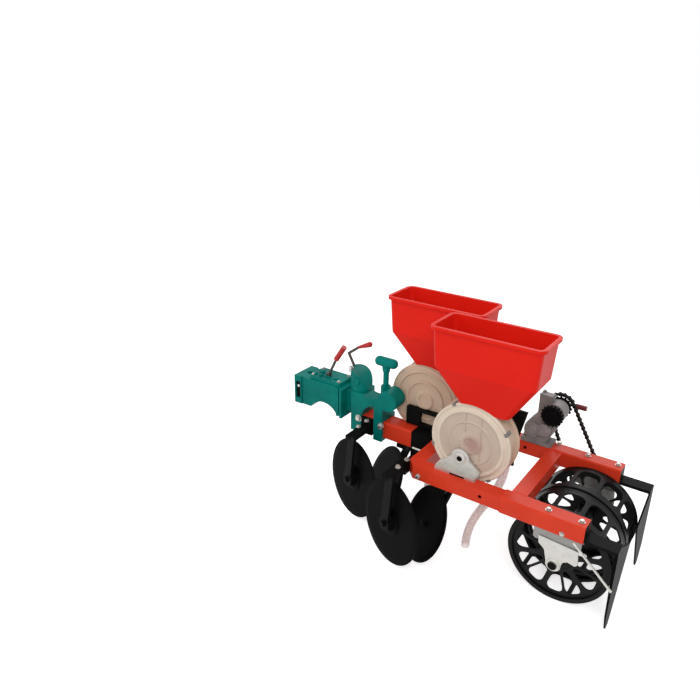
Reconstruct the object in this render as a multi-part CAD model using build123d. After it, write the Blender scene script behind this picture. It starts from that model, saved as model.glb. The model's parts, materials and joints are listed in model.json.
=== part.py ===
from build123d import *
from math import asin, atan2, cos, hypot, pi, radians, sin
import os

# Two-row planter for a walking tractor, in millimetres.
# While it is laid out, X points forward from the rear end of the frame arms,
# Y points left from the outer face of the left arm, and Z points up from the ground.
# At the end all pieces move together, so that the origin is on the ground under the middle.

# Frame: square tubes, with the front beams telescoped into the rear arms
frame_width = 330.0
frame_top = 265.0
beam_size = 38.0
beam_wall = 3.0
arm_wall = 3.0
tube_corner = 4.0
arm_length = 200.0
beam_front = 460.0
beam_overlap = 120.0
beam_mitre = 22.0
adjusting_hole_radius = 5.0
adjusting_hole_x = 252.0
rear_cross_x = 170.0
drawbar_size = 52.0
drawbar_front = 688.0
post_length = 64.0
post_drop = 25.0
post_toe = 34.0
overrun = 5.0
fit_gap = 0.3

# Press wheels on one axle
wheel_radius = 125.0
wheel_side_gap = 6.0
wheel_rim_wall = 5.0
wheel_lip = 5.0
wheel_web = 6.0
wheel_web_inset = 6.0
window_pairs = 6
window_inner_share = 0.22
window_outer_share = 0.76
window_outer_turn_share = 0.4
window_inner_turn_share = 0.29
window_corner = 5.0
thin_spoke = 5.0
tread_rows = 3
tread_window_length = 44.0
tread_bar = 9.0
wheel_gap = 10.0
wheel_x = 62.0
bracket_width = 112.0
bracket_flange = 34.0
bracket_skirt = 36.0
hub_radius = 24.0
hub_flange_radius = 34.0
axle_radius = 10.0
running_gap = 0.05

# Opener discs: each row has a large disc in front and a smaller one behind it
front_disc_radius = 114.0
front_disc_x = 463.0
front_disc_y = 56.0
front_disc_toe = 22.0
front_disc_lean = 5.5
rear_disc_radius = 101.0
rear_disc_x = 401.0
rear_disc_y = -15.0
rear_disc_toe = 40.0
rear_disc_lean = 24.5
row_stagger = 194.0
row_spacing = 108.0
disc_ground_gap = 1.0
disc_thickness = 4.0
disc_bevel = 14.0
disc_edge = 1.2
disc_hub_radius = 24.0
disc_flange_radius = 36.0
disc_hub_width = 14.0
spindle_radius = 8.0
arm_plate_thickness = 8.0
arm_plate_width = 30.0
arm_boss_radius = 20.0
arm_gap = 8.0
arm_foot_height = 12.0
foot_setback = 14.0

# Seed meters: round housings with stepped covers, on a common kind of stand
meter_radius = 106.0
meter_width = 60.0
meter_ring = 4.0
meter_neck = 5.0
meter_cover_step = 8.0
meter_cover_band = 16.0
meter_cover_recess = 2.5
meter_cap_radius = 30.0
meter_z = 344.0
left_meter_x = 313.0
left_meter_y = -54.0
right_meter_x = 514.0
right_meter_side_gap = 102.0
right_meter_rise = 5.0
stand_thickness = 6.0
stand_front = 74.0
stand_rear = 36.0
stand_lobe_radius = 24.0
stand_boss_radius = 15.0
stand_hole_radius = 8.0
stand_boss_forward = 18.0
stand_boss_drop = 44.0
fork_length = 42.0
fork_height = 52.0
fork_depth = 14.0
fork_prong = 8.0
fork_x = 539.0
fork_z = 300.0

# Seed tubes
seed_tube_radius = 11.0
seed_tube_wall = 2.0
seed_tube_low_z = 52.0
seed_tube_behind_disc = 106.0
left_tube_setback = 88.0
left_tube_aside = 30.0
right_tube_setback = -6.0
right_tube_aside = 67.0

# Guard plate on the inner face of the left meter
guard_thickness = 6.0
guard_waist = 95.0
guard_reach = 116.0
guard_front = 50.0
guard_low_z = 285.0
guard_top_z = 440.0

# Seed hoppers
hopper_top = 640.0
hopper_length = 270.0
hopper_width = 114.0
hopper_wall = 3.0
hopper_lip = 6.0
hopper_rim_height = 8.0
hopper_corner = 14.0
spout_length = 122.0
spout_width = 44.0
spout_setback = 30.0
spout_height_share = 0.85
hopper_bend_share = 0.5
hopper_bend_size_share = 0.95
hopper_back_reach = 164.0

# Drive on the right: gearbox, upper sprocket with its crank, chain and axle sprocket
drive_x = 186.0
drive_z = 367.0
drive_sprocket_radius = 30.0
drive_sprocket_teeth = 15
tooth_notch_radius = 4.0
sprocket_width = 5.0
chain_width = 10.0
chain_depth = 10.0
chain_gap = 0.3
drive_shaft_radius = 8.0
gearbox_width = 40.0
gearbox_base_length = 84.0
gearbox_base_height = 12.0
gearbox_low_x = 224.0
gearbox_low_z = 305.0
gearbox_low_radius = 36.0
gearbox_high_radius = 27.0
gearbox_cap_x = 214.0
gearbox_cap_size = 34.0
gearbox_cap_top = 410.0
crank_length = 30.0
crank_reach = 30.0
crank_radius = 7.0

# Hitch: a swivel arm clamped on the drawbar, and a box casting that turns on its pin
hitch_pin_radius = 11.0
hitch_box_front = 930.0
hitch_box_width = 84.0
hitch_box_bottom = 247.0
hitch_box_top = 338.0
hitch_rear_top = 348.0
hitch_waist = 28.0
hitch_rim = 26.0
hitch_rim_step = 4.0
hitch_wall = 9.0
socket_depth = 60.0
flange_step = 6.0
flange_thickness = 8.0
cover_plate_length = 112.0
cover_plate_height = 12.0
ear_thickness = 10.0
eye_radius = 20.0
eye_height = 66.0
eye_clearance = 6.0
arm_thickness = 28.0
arm_end_radius = 30.0
arm_end_x = 602.0
arm_end_z = 340.0
arm_dip = 12.0
lug_drop = 38.0
jaw_x = 630.0
jaw_length = 28.0
cowl_radius = 62.0
cowl_width = 64.0
socket_hole_radius = 10.0
lever_radius = 4.0
knob_radius = 8.0
box_lever = ((822.0, 350.0), (795.0, 412.0), (766.0, 457.0))
lock_lever = ((738.0, 404.0), (757.0, 438.0), (723.0, 464.0), (678.0, 485.0))
screw_x = 628.0
screw_radius = 8.0
screw_top = 428.0
handle_length = 72.0
handle_radius = 14.0

# Covering blades behind the wheels
blade_clearance = 6.0
blade_thickness = 4.0
blade_gap = 8.0
blade_width = 110.0
blade_rise = 46.0
blade_fold = 26.0
stay_radius = 3.0
stay_top_x = 20.0
stay_low_z = 130.0

arm_size = beam_size + 2 * arm_wall
inner_width = frame_width - 2 * arm_size
wheel_width = (inner_width - wheel_gap) / 2 - wheel_side_gap
middle_y = -frame_width / 2
frame_bottom = frame_top - arm_size
beam_z = frame_top - arm_size / 2
beam_top = beam_z + beam_size / 2
beam_low = beam_z - beam_size / 2
drawbar_top = beam_z + drawbar_size / 2
drawbar_low = beam_z - drawbar_size / 2
post_front = beam_front + post_length
left_beam_y = -arm_size / 2
right_beam_y = -frame_width + arm_size / 2
left_inner_y = -arm_size
right_inner_y = -frame_width + arm_size
right_meter_y = right_inner_y + right_meter_side_gap
chain_y = -frame_width - chain_gap - chain_width / 2 - sprocket_width
axle_sprocket_radius = drive_sprocket_radius * 4 / 3
axle_sprocket_teeth = drive_sprocket_teeth * 4 // 3
hitch_pin_x = drawbar_front + hitch_wall + eye_clearance + eye_radius
hitch_pin_z = (hitch_box_bottom + hitch_rear_top) / 2


def block(x0, x1, y0, y1, z0, z1):
    low = Vector(min(x0, x1), min(y0, y1), min(z0, z1))
    size = Vector(abs(x1 - x0), abs(y1 - y0), abs(z1 - z0))
    return Pos(low) * Box(size.X, size.Y, size.Z, align=Align.MIN)


def rod_between(start, end, radius):
    path = Vector(*end) - Vector(*start)
    plane = Plane(origin=start, z_dir=path.normalized())
    return plane * Cylinder(radius, path.length, align=(Align.CENTER, Align.CENTER, Align.MIN))


def cross_rod(x, z, y0, y1, radius):
    return rod_between((x, min(y0, y1), z), (x, max(y0, y1), z), radius)


def upright(x, y, z0, z1, radius):
    return rod_between((x, y, min(z0, z1)), (x, y, max(z0, z1)), radius)


# Square tube with rounded edges, solid when the wall is zero
def square_tube(x0, x1, y, z, size, wall):
    section = Plane(origin=(x0, y, z), z_dir=(1, 0, 0))
    tube = extrude(section * RectangleRounded(size, size, tube_corner), amount=x1 - x0)
    if wall:
        tube -= block(x0 - overrun, x1 + overrun, y - size / 2 + wall, y + size / 2 - wall,
                      z - size / 2 + wall, z + size / 2 - wall)
    return tube


def plate_xz(points, y0, y1, corner=0.0):
    face = make_face(Polyline(*[(x, 0, z) for x, z in points], close=True))
    if corner:
        face = fillet(face.vertices(), radius=corner)
    return Pos(0, min(y0, y1), 0) * extrude(face, amount=abs(y1 - y0), dir=(0, 1, 0))


# Body turned round a cross axis; the profile lists radius and place along Y
def turned(x, z, profile):
    face = make_face(Polyline(*[(radius, y, 0) for radius, y in profile], close=True))
    return Pos(x, 0, z) * revolve(face, axis=Axis.Y)


pieces = {}


# Frame tubes
def make_frame():
    half_beam = beam_size / 2
    bore = half_beam - beam_wall
    for side, y, outward in (("left", left_beam_y, 1), ("right", right_beam_y, -1)):
        arm = square_tube(0, arm_length, y, beam_z, arm_size, 0)
        arm -= block(-overrun, arm_length + overrun, y - half_beam, y + half_beam, beam_low, beam_top)
        beam_rear = arm_length - beam_overlap
        beam = block(beam_rear, beam_front, y - half_beam, y + half_beam, beam_low, beam_top)
        beam -= block(beam_rear - overrun, beam_front - beam_size, y - bore, y + bore,
                      beam_z - bore, beam_z + bore)
        corner = Pos(beam_front, y + outward * half_beam, beam_z) * Rot(0, 0, 45)
        mitre = beam_mitre * 2 ** 0.5
        beam -= corner * Box(mitre, mitre, beam_size + overrun)
        beam -= cross_rod(adjusting_hole_x, beam_z, y - arm_size, y + arm_size, adjusting_hole_radius)
        pieces[f"rear_arm_{side}"] = arm
        pieces[f"front_beam_{side}"] = beam
    crosses = [
        ("rear_cross", rear_cross_x, left_inner_y, right_inner_y),
        ("front_cross", beam_front - half_beam, left_beam_y - half_beam, right_beam_y + half_beam),
    ]
    for name, x, y_left, y_right in crosses:
        cross = block(x - half_beam, x + half_beam, y_left, y_right, beam_low, beam_top)
        cross -= block(x - bore, x + bore, y_left + overrun, y_right - overrun, beam_z - bore, beam_z + bore)
        pieces[name] = cross
    half_bar = drawbar_size / 2
    post_low = drawbar_low - post_drop
    outline = [(beam_front, beam_low), (post_front - post_toe, beam_low), (post_front - post_toe, post_low),
               (post_front, post_low), (post_front, drawbar_top), (beam_front, drawbar_top)]
    pieces["drawbar_post"] = plate_xz(outline, middle_y - half_bar, middle_y + half_bar)
    pieces["drawbar"] = square_tube(post_front, drawbar_front, middle_y, beam_z, drawbar_size, beam_wall)


# Cutters for the windows in the tread of a wheel, in rows round it and in pairs like those of the web
def tread_cutters(y):
    row_pitch = (wheel_width - 2 * wheel_lip) / tread_rows
    inside = wheel_radius - wheel_rim_wall - wheel_lip
    turn = (thin_spoke + tread_window_length) / 2 / wheel_radius
    cutters = []
    for row in range(tread_rows):
        row_y = y + (row - (tread_rows - 1) / 2) * row_pitch
        for index in range(window_pairs):
            for mirror in (1, -1):
                angle = index * 2 * pi / window_pairs + mirror * turn
                outward = Vector(cos(angle), 0, sin(angle))
                plane = Plane(origin=Vector(wheel_x, row_y, wheel_radius) + outward * inside,
                              x_dir=(0, 1, 0), z_dir=outward)
                window = RectangleRounded(row_pitch - tread_bar, tread_window_length, window_corner)
                cutters.append(extrude(plane * window, amount=wheel_radius - inside + overrun))
    return cutters


# Press wheels with windowed treads and webs, on an axle in two bearing brackets
def make_wheels():
    axle_z = wheel_radius
    half = wheel_width / 2
    window_inner = hub_flange_radius + (wheel_radius - hub_flange_radius) * window_inner_share
    window_outer = hub_flange_radius + (wheel_radius - hub_flange_radius) * window_outer_share
    pitch = 2 * pi / window_pairs
    for side, outward in (("left", 1), ("right", -1)):
        y = middle_y + outward * (wheel_gap / 2 + half)
        inside = wheel_radius - wheel_rim_wall
        rim = turned(wheel_x, axle_z, [
            (wheel_radius - wheel_lip, y - half), (wheel_radius, y - half + wheel_lip),
            (wheel_radius, y + half - wheel_lip), (wheel_radius - wheel_lip, y + half),
            (inside - wheel_lip, y + half), (inside - wheel_lip, y + half - wheel_lip),
            (inside, y + half - 2 * wheel_lip), (inside, y - half + 2 * wheel_lip),
            (inside - wheel_lip, y - half + wheel_lip), (inside - wheel_lip, y - half)])
        web_y = y + outward * (half - wheel_web_inset)
        flange_y = y + outward * half
        web = turned(wheel_x, axle_z, [
            (axle_radius, web_y - outward * wheel_web / 2), (wheel_radius - wheel_rim_wall / 2,
                                                             web_y - outward * wheel_web / 2),
            (wheel_radius - wheel_rim_wall / 2, web_y + outward * wheel_web / 2),
            (hub_flange_radius, web_y + outward * wheel_web / 2), (hub_flange_radius, flange_y),
            (axle_radius, flange_y)])
        for index in range(window_pairs):
            for mirror in (1, -1):
                corners = []
                for radius, turn in ((window_inner, asin(thin_spoke / 2 / window_inner)),
                                     (window_outer, asin(thin_spoke / 2 / window_outer)),
                                     (window_outer, pitch * window_outer_turn_share / 2),
                                     (window_outer, pitch * window_outer_turn_share),
                                     (window_inner, pitch * window_inner_turn_share)):
                    angle = index * pitch + mirror * turn
                    corners.append((wheel_x + radius * cos(angle), axle_z + radius * sin(angle)))
                web -= plate_xz(corners, web_y - wheel_web, web_y + wheel_web, window_corner)
        hub = turned(wheel_x, axle_z, [(axle_radius, y - half), (hub_radius, y - half),
                                       (hub_radius, y + half), (axle_radius, y + half)])
        pieces[f"press_wheel_{side}"] = (rim - tread_cutters(y)) + web + hub
    axle_right = chain_y - chain_width
    axle_left = left_beam_y + stand_thickness + axle_radius / 2
    pieces["wheel_axle"] = cross_rod(wheel_x, axle_z, axle_left, axle_right, axle_radius)
    boss_radius = axle_radius * 2
    half_plate = stand_thickness / 2
    for side, y in (("left", left_beam_y), ("right", right_beam_y)):
        rear_x = wheel_x - bracket_width / 2
        front_x = wheel_x + bracket_width / 2
        corners = [(rear_x, frame_bottom), (front_x, frame_bottom), (front_x, frame_bottom - bracket_skirt),
                   (wheel_x + boss_radius, axle_z), (wheel_x - boss_radius, axle_z),
                   (rear_x, frame_bottom - bracket_skirt)]
        bracket = plate_xz(corners, y - half_plate, y + half_plate)
        bracket += block(rear_x, front_x, y - bracket_flange / 2, y + bracket_flange / 2,
                         frame_bottom - stand_thickness, frame_bottom)
        bracket += cross_rod(wheel_x, axle_z, y - stand_thickness * 1.5, y + stand_thickness * 1.5, boss_radius)
        bracket -= cross_rod(wheel_x, axle_z, y - arm_size, y + arm_size, axle_radius + running_gap)
        pieces[f"bearing_bracket_{side}"] = bracket


# Plane whose Y runs along a disc's axis and whose Z rises along its face
def disc_plane(hub, toe, lean):
    level = cos(radians(lean))
    axis = Vector(sin(radians(toe)) * level, cos(radians(toe)) * level, sin(radians(lean)))
    rise = (Vector(0, 0, 1) - axis * axis.Z).normalized()
    return Plane(origin=hub, x_dir=axis.cross(rise), z_dir=rise), axis, rise


# Flat disc with a sharpened rim and a stepped hub on the side given by sign
def opener_disc(radius, sign):
    face = disc_thickness / 2
    bore = spindle_radius + running_gap
    return turned(0, 0, [
        (bore, -sign * face), (radius - disc_bevel, -sign * face), (radius, -sign * disc_edge / 2),
        (radius, sign * disc_edge / 2), (radius - disc_bevel, sign * face),
        (disc_flange_radius, sign * face), (disc_flange_radius, sign * face * 2),
        (disc_hub_radius, sign * face * 3), (disc_hub_radius - face, sign * disc_hub_width),
        (bore, sign * disc_hub_width)])


# Plate along a disc's face from its spindle up to a given length
def disc_arm(sign, length):
    inner = sign * (disc_hub_width + fit_gap)
    outer = inner + sign * arm_plate_thickness
    half = arm_plate_width / 2
    arm = block(-half, half, inner, outer, 0, length)
    arm += cross_rod(0, 0, inner, outer, arm_boss_radius)
    arm += cross_rod(0, 0, -sign * disc_thickness, inner, spindle_radius)
    return arm


# Two discs of one row, the arm that reaches over the front one and the shank of the rear one
def make_opener(row, forward, inward, end_plate, under_z, under_y):
    hub_z = front_disc_radius * cos(radians(front_disc_lean)) + disc_ground_gap
    hub = Vector(front_disc_x + forward, front_disc_y - inward, hub_z)
    plane, axis, rise = disc_plane(hub, front_disc_toe, front_disc_lean)
    pieces[f"disc_{row}_left"] = plane * opener_disc(front_disc_radius, 1)
    arm_low = 2 * hub_z + arm_gap
    arm_top = arm_low + arm_foot_height
    length = (arm_top - hub_z) / rise.Z
    arm = plane * disc_arm(1, length)
    tip = hub + axis * (disc_hub_width + arm_plate_thickness / 2) + rise * length
    x0, x1, y0, y1, z0, z1 = end_plate
    half = arm_plate_width / 2
    bar_x = max(tip.X, x0 + half)
    arm += block(bar_x - half, bar_x + half, y0, tip.Y + arm_plate_thickness / 2, arm_low, arm_top)
    arm += block(x0, x1, y0, y1, z0, z1)
    pieces[f"disc_arm_{row}"] = arm
    hub_z = rear_disc_radius * cos(radians(rear_disc_lean)) + disc_ground_gap
    hub = Vector(rear_disc_x + forward, rear_disc_y - inward, hub_z)
    plane, axis, rise = disc_plane(hub, rear_disc_toe, rear_disc_lean)
    pieces[f"disc_{row}_right"] = plane * opener_disc(rear_disc_radius, -1)
    foot_low = under_z - arm_foot_height
    offset = disc_hub_width + arm_plate_thickness / 2
    length = (foot_low + arm_foot_height / 2 - hub_z + axis.Z * offset) / rise.Z
    shank = plane * disc_arm(-1, length)
    tip = hub - axis * offset + rise * length
    foot_x = tip.X + foot_setback / 2
    shank += block(foot_x - half, foot_x + half, min(tip.Y - foot_setback, under_y[0]),
                   max(tip.Y + foot_setback, under_y[1]), foot_low, under_z)
    pieces[f"shank_{row}"] = shank


# Round meter housing: a ringed drum and a stepped cover
def make_meter_housing(side, y_near, x, z):
    y_far = y_near - meter_width
    y_joint = y_near - meter_cover_step
    neck = meter_radius - meter_neck
    drum = turned(x, z, [
        (0, y_far), (meter_radius, y_far), (meter_radius, y_far + meter_ring),
        (neck, y_far + 2 * meter_ring), (neck, y_joint - 2 * meter_ring),
        (meter_radius, y_joint - meter_ring), (meter_radius, y_joint), (0, y_joint)])
    band = neck - meter_cover_band
    cover = turned(x, z, [
        (0, y_joint), (meter_radius, y_joint), (meter_radius, y_joint + meter_ring / 2),
        (neck, y_joint + meter_ring), (neck - meter_ring / 2, y_near), (band, y_near),
        (band - meter_ring, y_near - meter_cover_recess), (meter_cap_radius, y_near - meter_cover_recess),
        (meter_cap_radius - meter_ring, y_near), (0, y_near)])
    if side == "right":
        under_foot = block(x - meter_radius, x + meter_radius, y_near + overrun, y_far - overrun,
                           z - meter_radius - overrun, drawbar_top)
        drum -= under_foot
        cover -= under_foot
    pieces[f"meter_{side}"] = drum
    pieces[f"meter_cover_{side}"] = cover


# Stand of a meter: a foot on the beam and a plate that rises to a round lobe with a boss
def make_stand(side, y_face, outward, foot, lobe_x, lobe_z):
    rear_x, front_x, foot_y = foot
    outer_y = y_face + outward * stand_thickness
    boss_y = outer_y + outward * stand_thickness / 2
    foot_top = frame_top + stand_thickness
    stand = plate_xz([(rear_x, frame_top), (front_x, frame_top), (front_x, foot_top),
                      (lobe_x + stand_lobe_radius, lobe_z), (lobe_x - stand_lobe_radius, lobe_z),
                      (rear_x, foot_top + stand_thickness)], y_face, outer_y)
    stand += cross_rod(lobe_x, lobe_z, y_face, outer_y, stand_lobe_radius)
    stand += cross_rod(lobe_x, lobe_z, y_face, boss_y, stand_boss_radius)
    stand += block(rear_x, front_x, y_face, foot_y, beam_top, foot_top)
    stand -= cross_rod(lobe_x, lobe_z, y_face - outward * overrun, boss_y + outward * overrun,
                       stand_hole_radius)
    pieces[f"meter_stand_{side}"] = stand


# Seed hopper: a ruled shell from the spout on the meter up to a rimmed mouth
def make_hopper(side, y_near, x, z):
    hopper_back = x - hopper_back_reach
    y_mid = y_near - meter_width / 2 + meter_cover_step / 2
    spout_bottom = z + meter_radius * spout_height_share
    middle_z = spout_bottom + (hopper_top - spout_bottom) * hopper_bend_share
    x_mid = hopper_back + hopper_length / 2
    levels = [
        (spout_bottom, x - spout_setback, spout_length, spout_width),
        (middle_z, x_mid, hopper_length * hopper_bend_size_share, hopper_width * hopper_bend_size_share),
        (hopper_top, x_mid, hopper_length, hopper_width),
    ]
    outer = []
    inner = []
    for height, centre_x, length, width in levels:
        outer.append(Pos(centre_x, y_mid, height) * RectangleRounded(length, width, hopper_corner))
        inner.append(Pos(centre_x, y_mid, height) * RectangleRounded(
            length - 2 * hopper_wall, width - 2 * hopper_wall, hopper_corner - hopper_wall))
    shell = loft(outer, ruled=True) - loft(inner, ruled=True)
    rim = extrude(Pos(x_mid, y_mid, hopper_top - hopper_rim_height)
                  * RectangleRounded(hopper_length + 2 * hopper_lip, hopper_width + 2 * hopper_lip,
                                     hopper_corner + hopper_lip), amount=hopper_rim_height)
    rim -= extrude(Pos(x_mid, y_mid, hopper_top - hopper_rim_height - overrun)
                   * RectangleRounded(hopper_length - 2 * hopper_wall, hopper_width - 2 * hopper_wall,
                                      hopper_corner - hopper_wall), amount=hopper_rim_height + 2 * overrun)
    seat = cross_rod(x, z, y_near + hopper_width, y_near - 2 * hopper_width, meter_radius)
    pieces[f"hopper_{side}"] = (shell + rim) - seat


# Clevis on the inner face of the right meter, with its two prongs pointing back
def make_fork():
    y_face = right_meter_y
    y_out = y_face + fork_depth
    half = fork_height / 2
    fork = block(fork_x - fork_length / 2, fork_x + fork_length / 2, y_face, y_out, fork_z - half, fork_z + half)
    prong_rear = fork_x - fork_length / 2 - fork_height
    for low in (fork_z - half, fork_z + half - fork_prong):
        fork += block(prong_rear, fork_x, y_face, y_out, low, low + fork_prong)
    pieces["meter_fork"] = fork


# Seed tube from a meter down to the furrow behind the rear disc
def make_seed_tube(start, low):
    middle = (start + low) / 2
    path = Spline(start, middle, low, tangents=[(0, 0, -1), (0, 0, -1)])
    ends = Plane(origin=path @ 0, z_dir=path % 0)
    tube = sweep(ends * Circle(seed_tube_radius), path=path)
    return tube - sweep(ends * Circle(seed_tube_radius - seed_tube_wall), path=path)


# The left tube fits the groove of its drum and the right one the flat foot of its drum
def make_seed_tubes():
    neck = meter_radius - meter_neck + fit_gap
    low_x = rear_disc_x - seed_tube_behind_disc
    y = left_meter_y - meter_width / 2
    start_z = meter_z - (neck ** 2 - left_tube_setback ** 2) ** 0.5 + 2 * seed_tube_radius
    tube = make_seed_tube(Vector(left_meter_x - left_tube_setback, y, start_z),
                          Vector(low_x, rear_disc_y - left_tube_aside, seed_tube_low_z))
    pieces["seed_tube_left"] = tube - cross_rod(left_meter_x, meter_z, y - meter_width, y + meter_width, neck)
    pieces["seed_tube_right"] = make_seed_tube(
        Vector(right_meter_x - right_tube_setback, right_meter_y - meter_width / 2, drawbar_top - fit_gap),
        Vector(low_x + row_stagger, rear_disc_y - row_spacing - right_tube_aside, seed_tube_low_z))


# Guard plate that widens towards the hopper
def make_guard():
    x = left_meter_x
    y_far = left_meter_y - meter_width
    pieces["meter_guard"] = plate_xz(
        [(x - guard_waist, guard_low_z), (x - guard_waist, meter_z), (x - guard_reach, guard_top_z),
         (x - guard_front, guard_top_z), (x - guard_front, guard_low_z)], y_far - guard_thickness, y_far)


# Belt shape round two pulleys, grown by an offset
def belt(first, first_radius, second, second_radius, y0, y1):
    (ax, az), (bx, bz) = first, second
    reach = hypot(bx - ax, bz - az)
    heading = atan2(bz - az, bx - ax)
    lean = asin((second_radius - first_radius) / reach)
    corners = []
    for centre_x, centre_z, radius, side in ((ax, az, first_radius, 1), (bx, bz, second_radius, 1),
                                             (bx, bz, second_radius, -1), (ax, az, first_radius, -1)):
        angle = heading + side * (pi / 2 + lean)
        corners.append((centre_x + radius * cos(angle), centre_z + radius * sin(angle)))
    return (plate_xz(corners, y0, y1) + cross_rod(ax, az, y0, y1, first_radius)
            + cross_rod(bx, bz, y0, y1, second_radius))


# Sprocket disc with a notch between each two teeth
def toothed(x, z, y, radius, teeth):
    half = sprocket_width / 2
    wheel = cross_rod(x, z, y - half, y + half, radius)
    for index in range(teeth):
        angle = 2 * pi * index / teeth
        wheel -= cross_rod(x + radius * cos(angle), z + radius * sin(angle), y - sprocket_width,
                           y + sprocket_width, tooth_notch_radius)
    return wheel


# Meter drive: gearbox on the right arm, upper sprocket with its crank, chain, axle sprocket
def make_drive():
    upper = (drive_x, drive_z)
    lower = (wheel_x, wheel_radius)
    gap = chain_gap
    outer = belt(upper, drive_sprocket_radius + gap + chain_depth, lower,
                 axle_sprocket_radius + gap + chain_depth, chain_y - chain_width / 2, chain_y + chain_width / 2)
    inner = belt(upper, drive_sprocket_radius + gap, lower, axle_sprocket_radius + gap,
                 chain_y - chain_width, chain_y + chain_width)
    pieces["drive_chain"] = outer - inner
    axle_sprocket = toothed(*lower, chain_y, axle_sprocket_radius, axle_sprocket_teeth)
    axle_sprocket -= cross_rod(*lower, chain_y - chain_width, chain_y + chain_width, axle_radius)
    pieces["axle_sprocket"] = axle_sprocket
    y_left = right_inner_y
    y_right = y_left - gearbox_width
    rear_x = gearbox_low_x - gearbox_base_length / 2
    gearbox = belt((gearbox_low_x, gearbox_low_z), gearbox_low_radius, upper, gearbox_high_radius, y_left, y_right)
    gearbox &= block(rear_x - gearbox_base_length, rear_x + 2 * gearbox_base_length, y_left, y_right,
                     frame_top, hopper_top)
    gearbox += block(rear_x, rear_x + gearbox_base_length, y_left, y_right, frame_top,
                     frame_top + gearbox_base_height)
    cap_half = gearbox_cap_size / 2
    gearbox += block(gearbox_cap_x - cap_half, gearbox_cap_x + cap_half, y_left - cap_half / 2,
                     y_right + cap_half / 2, gearbox_low_z, gearbox_cap_top)
    gearbox += cross_rod(*upper, y_left + stand_thickness, y_right, gearbox_high_radius * 2 / 3)
    gearbox -= cross_rod(*upper, y_left + 2 * stand_thickness, y_right - overrun, drive_shaft_radius + running_gap)
    pieces["gearbox"] = gearbox
    crank_y = chain_y - chain_width * 2
    sprocket = toothed(*upper, chain_y, drive_sprocket_radius, drive_sprocket_teeth)
    sprocket += cross_rod(*upper, y_left - sprocket_width, crank_y, drive_shaft_radius)
    pieces["drive_sprocket"] = sprocket
    grip_y = crank_y - crank_radius
    crank = turned(*upper, [(0, crank_y), (crank_radius * 2, crank_y),
                            (crank_radius * 2, crank_y - sprocket_width),
                            (crank_radius, crank_y - 2 * crank_radius), (0, crank_y - 2 * crank_radius)])
    crank += rod_between((drive_x, grip_y, drive_z),
                         (drive_x - crank_reach, grip_y, drive_z), crank_radius / 2)
    crank += rod_between((drive_x - crank_reach, grip_y, drive_z),
                         (drive_x - crank_reach - crank_length, grip_y, drive_z), crank_radius)
    pieces["drive_crank"] = crank


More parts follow.
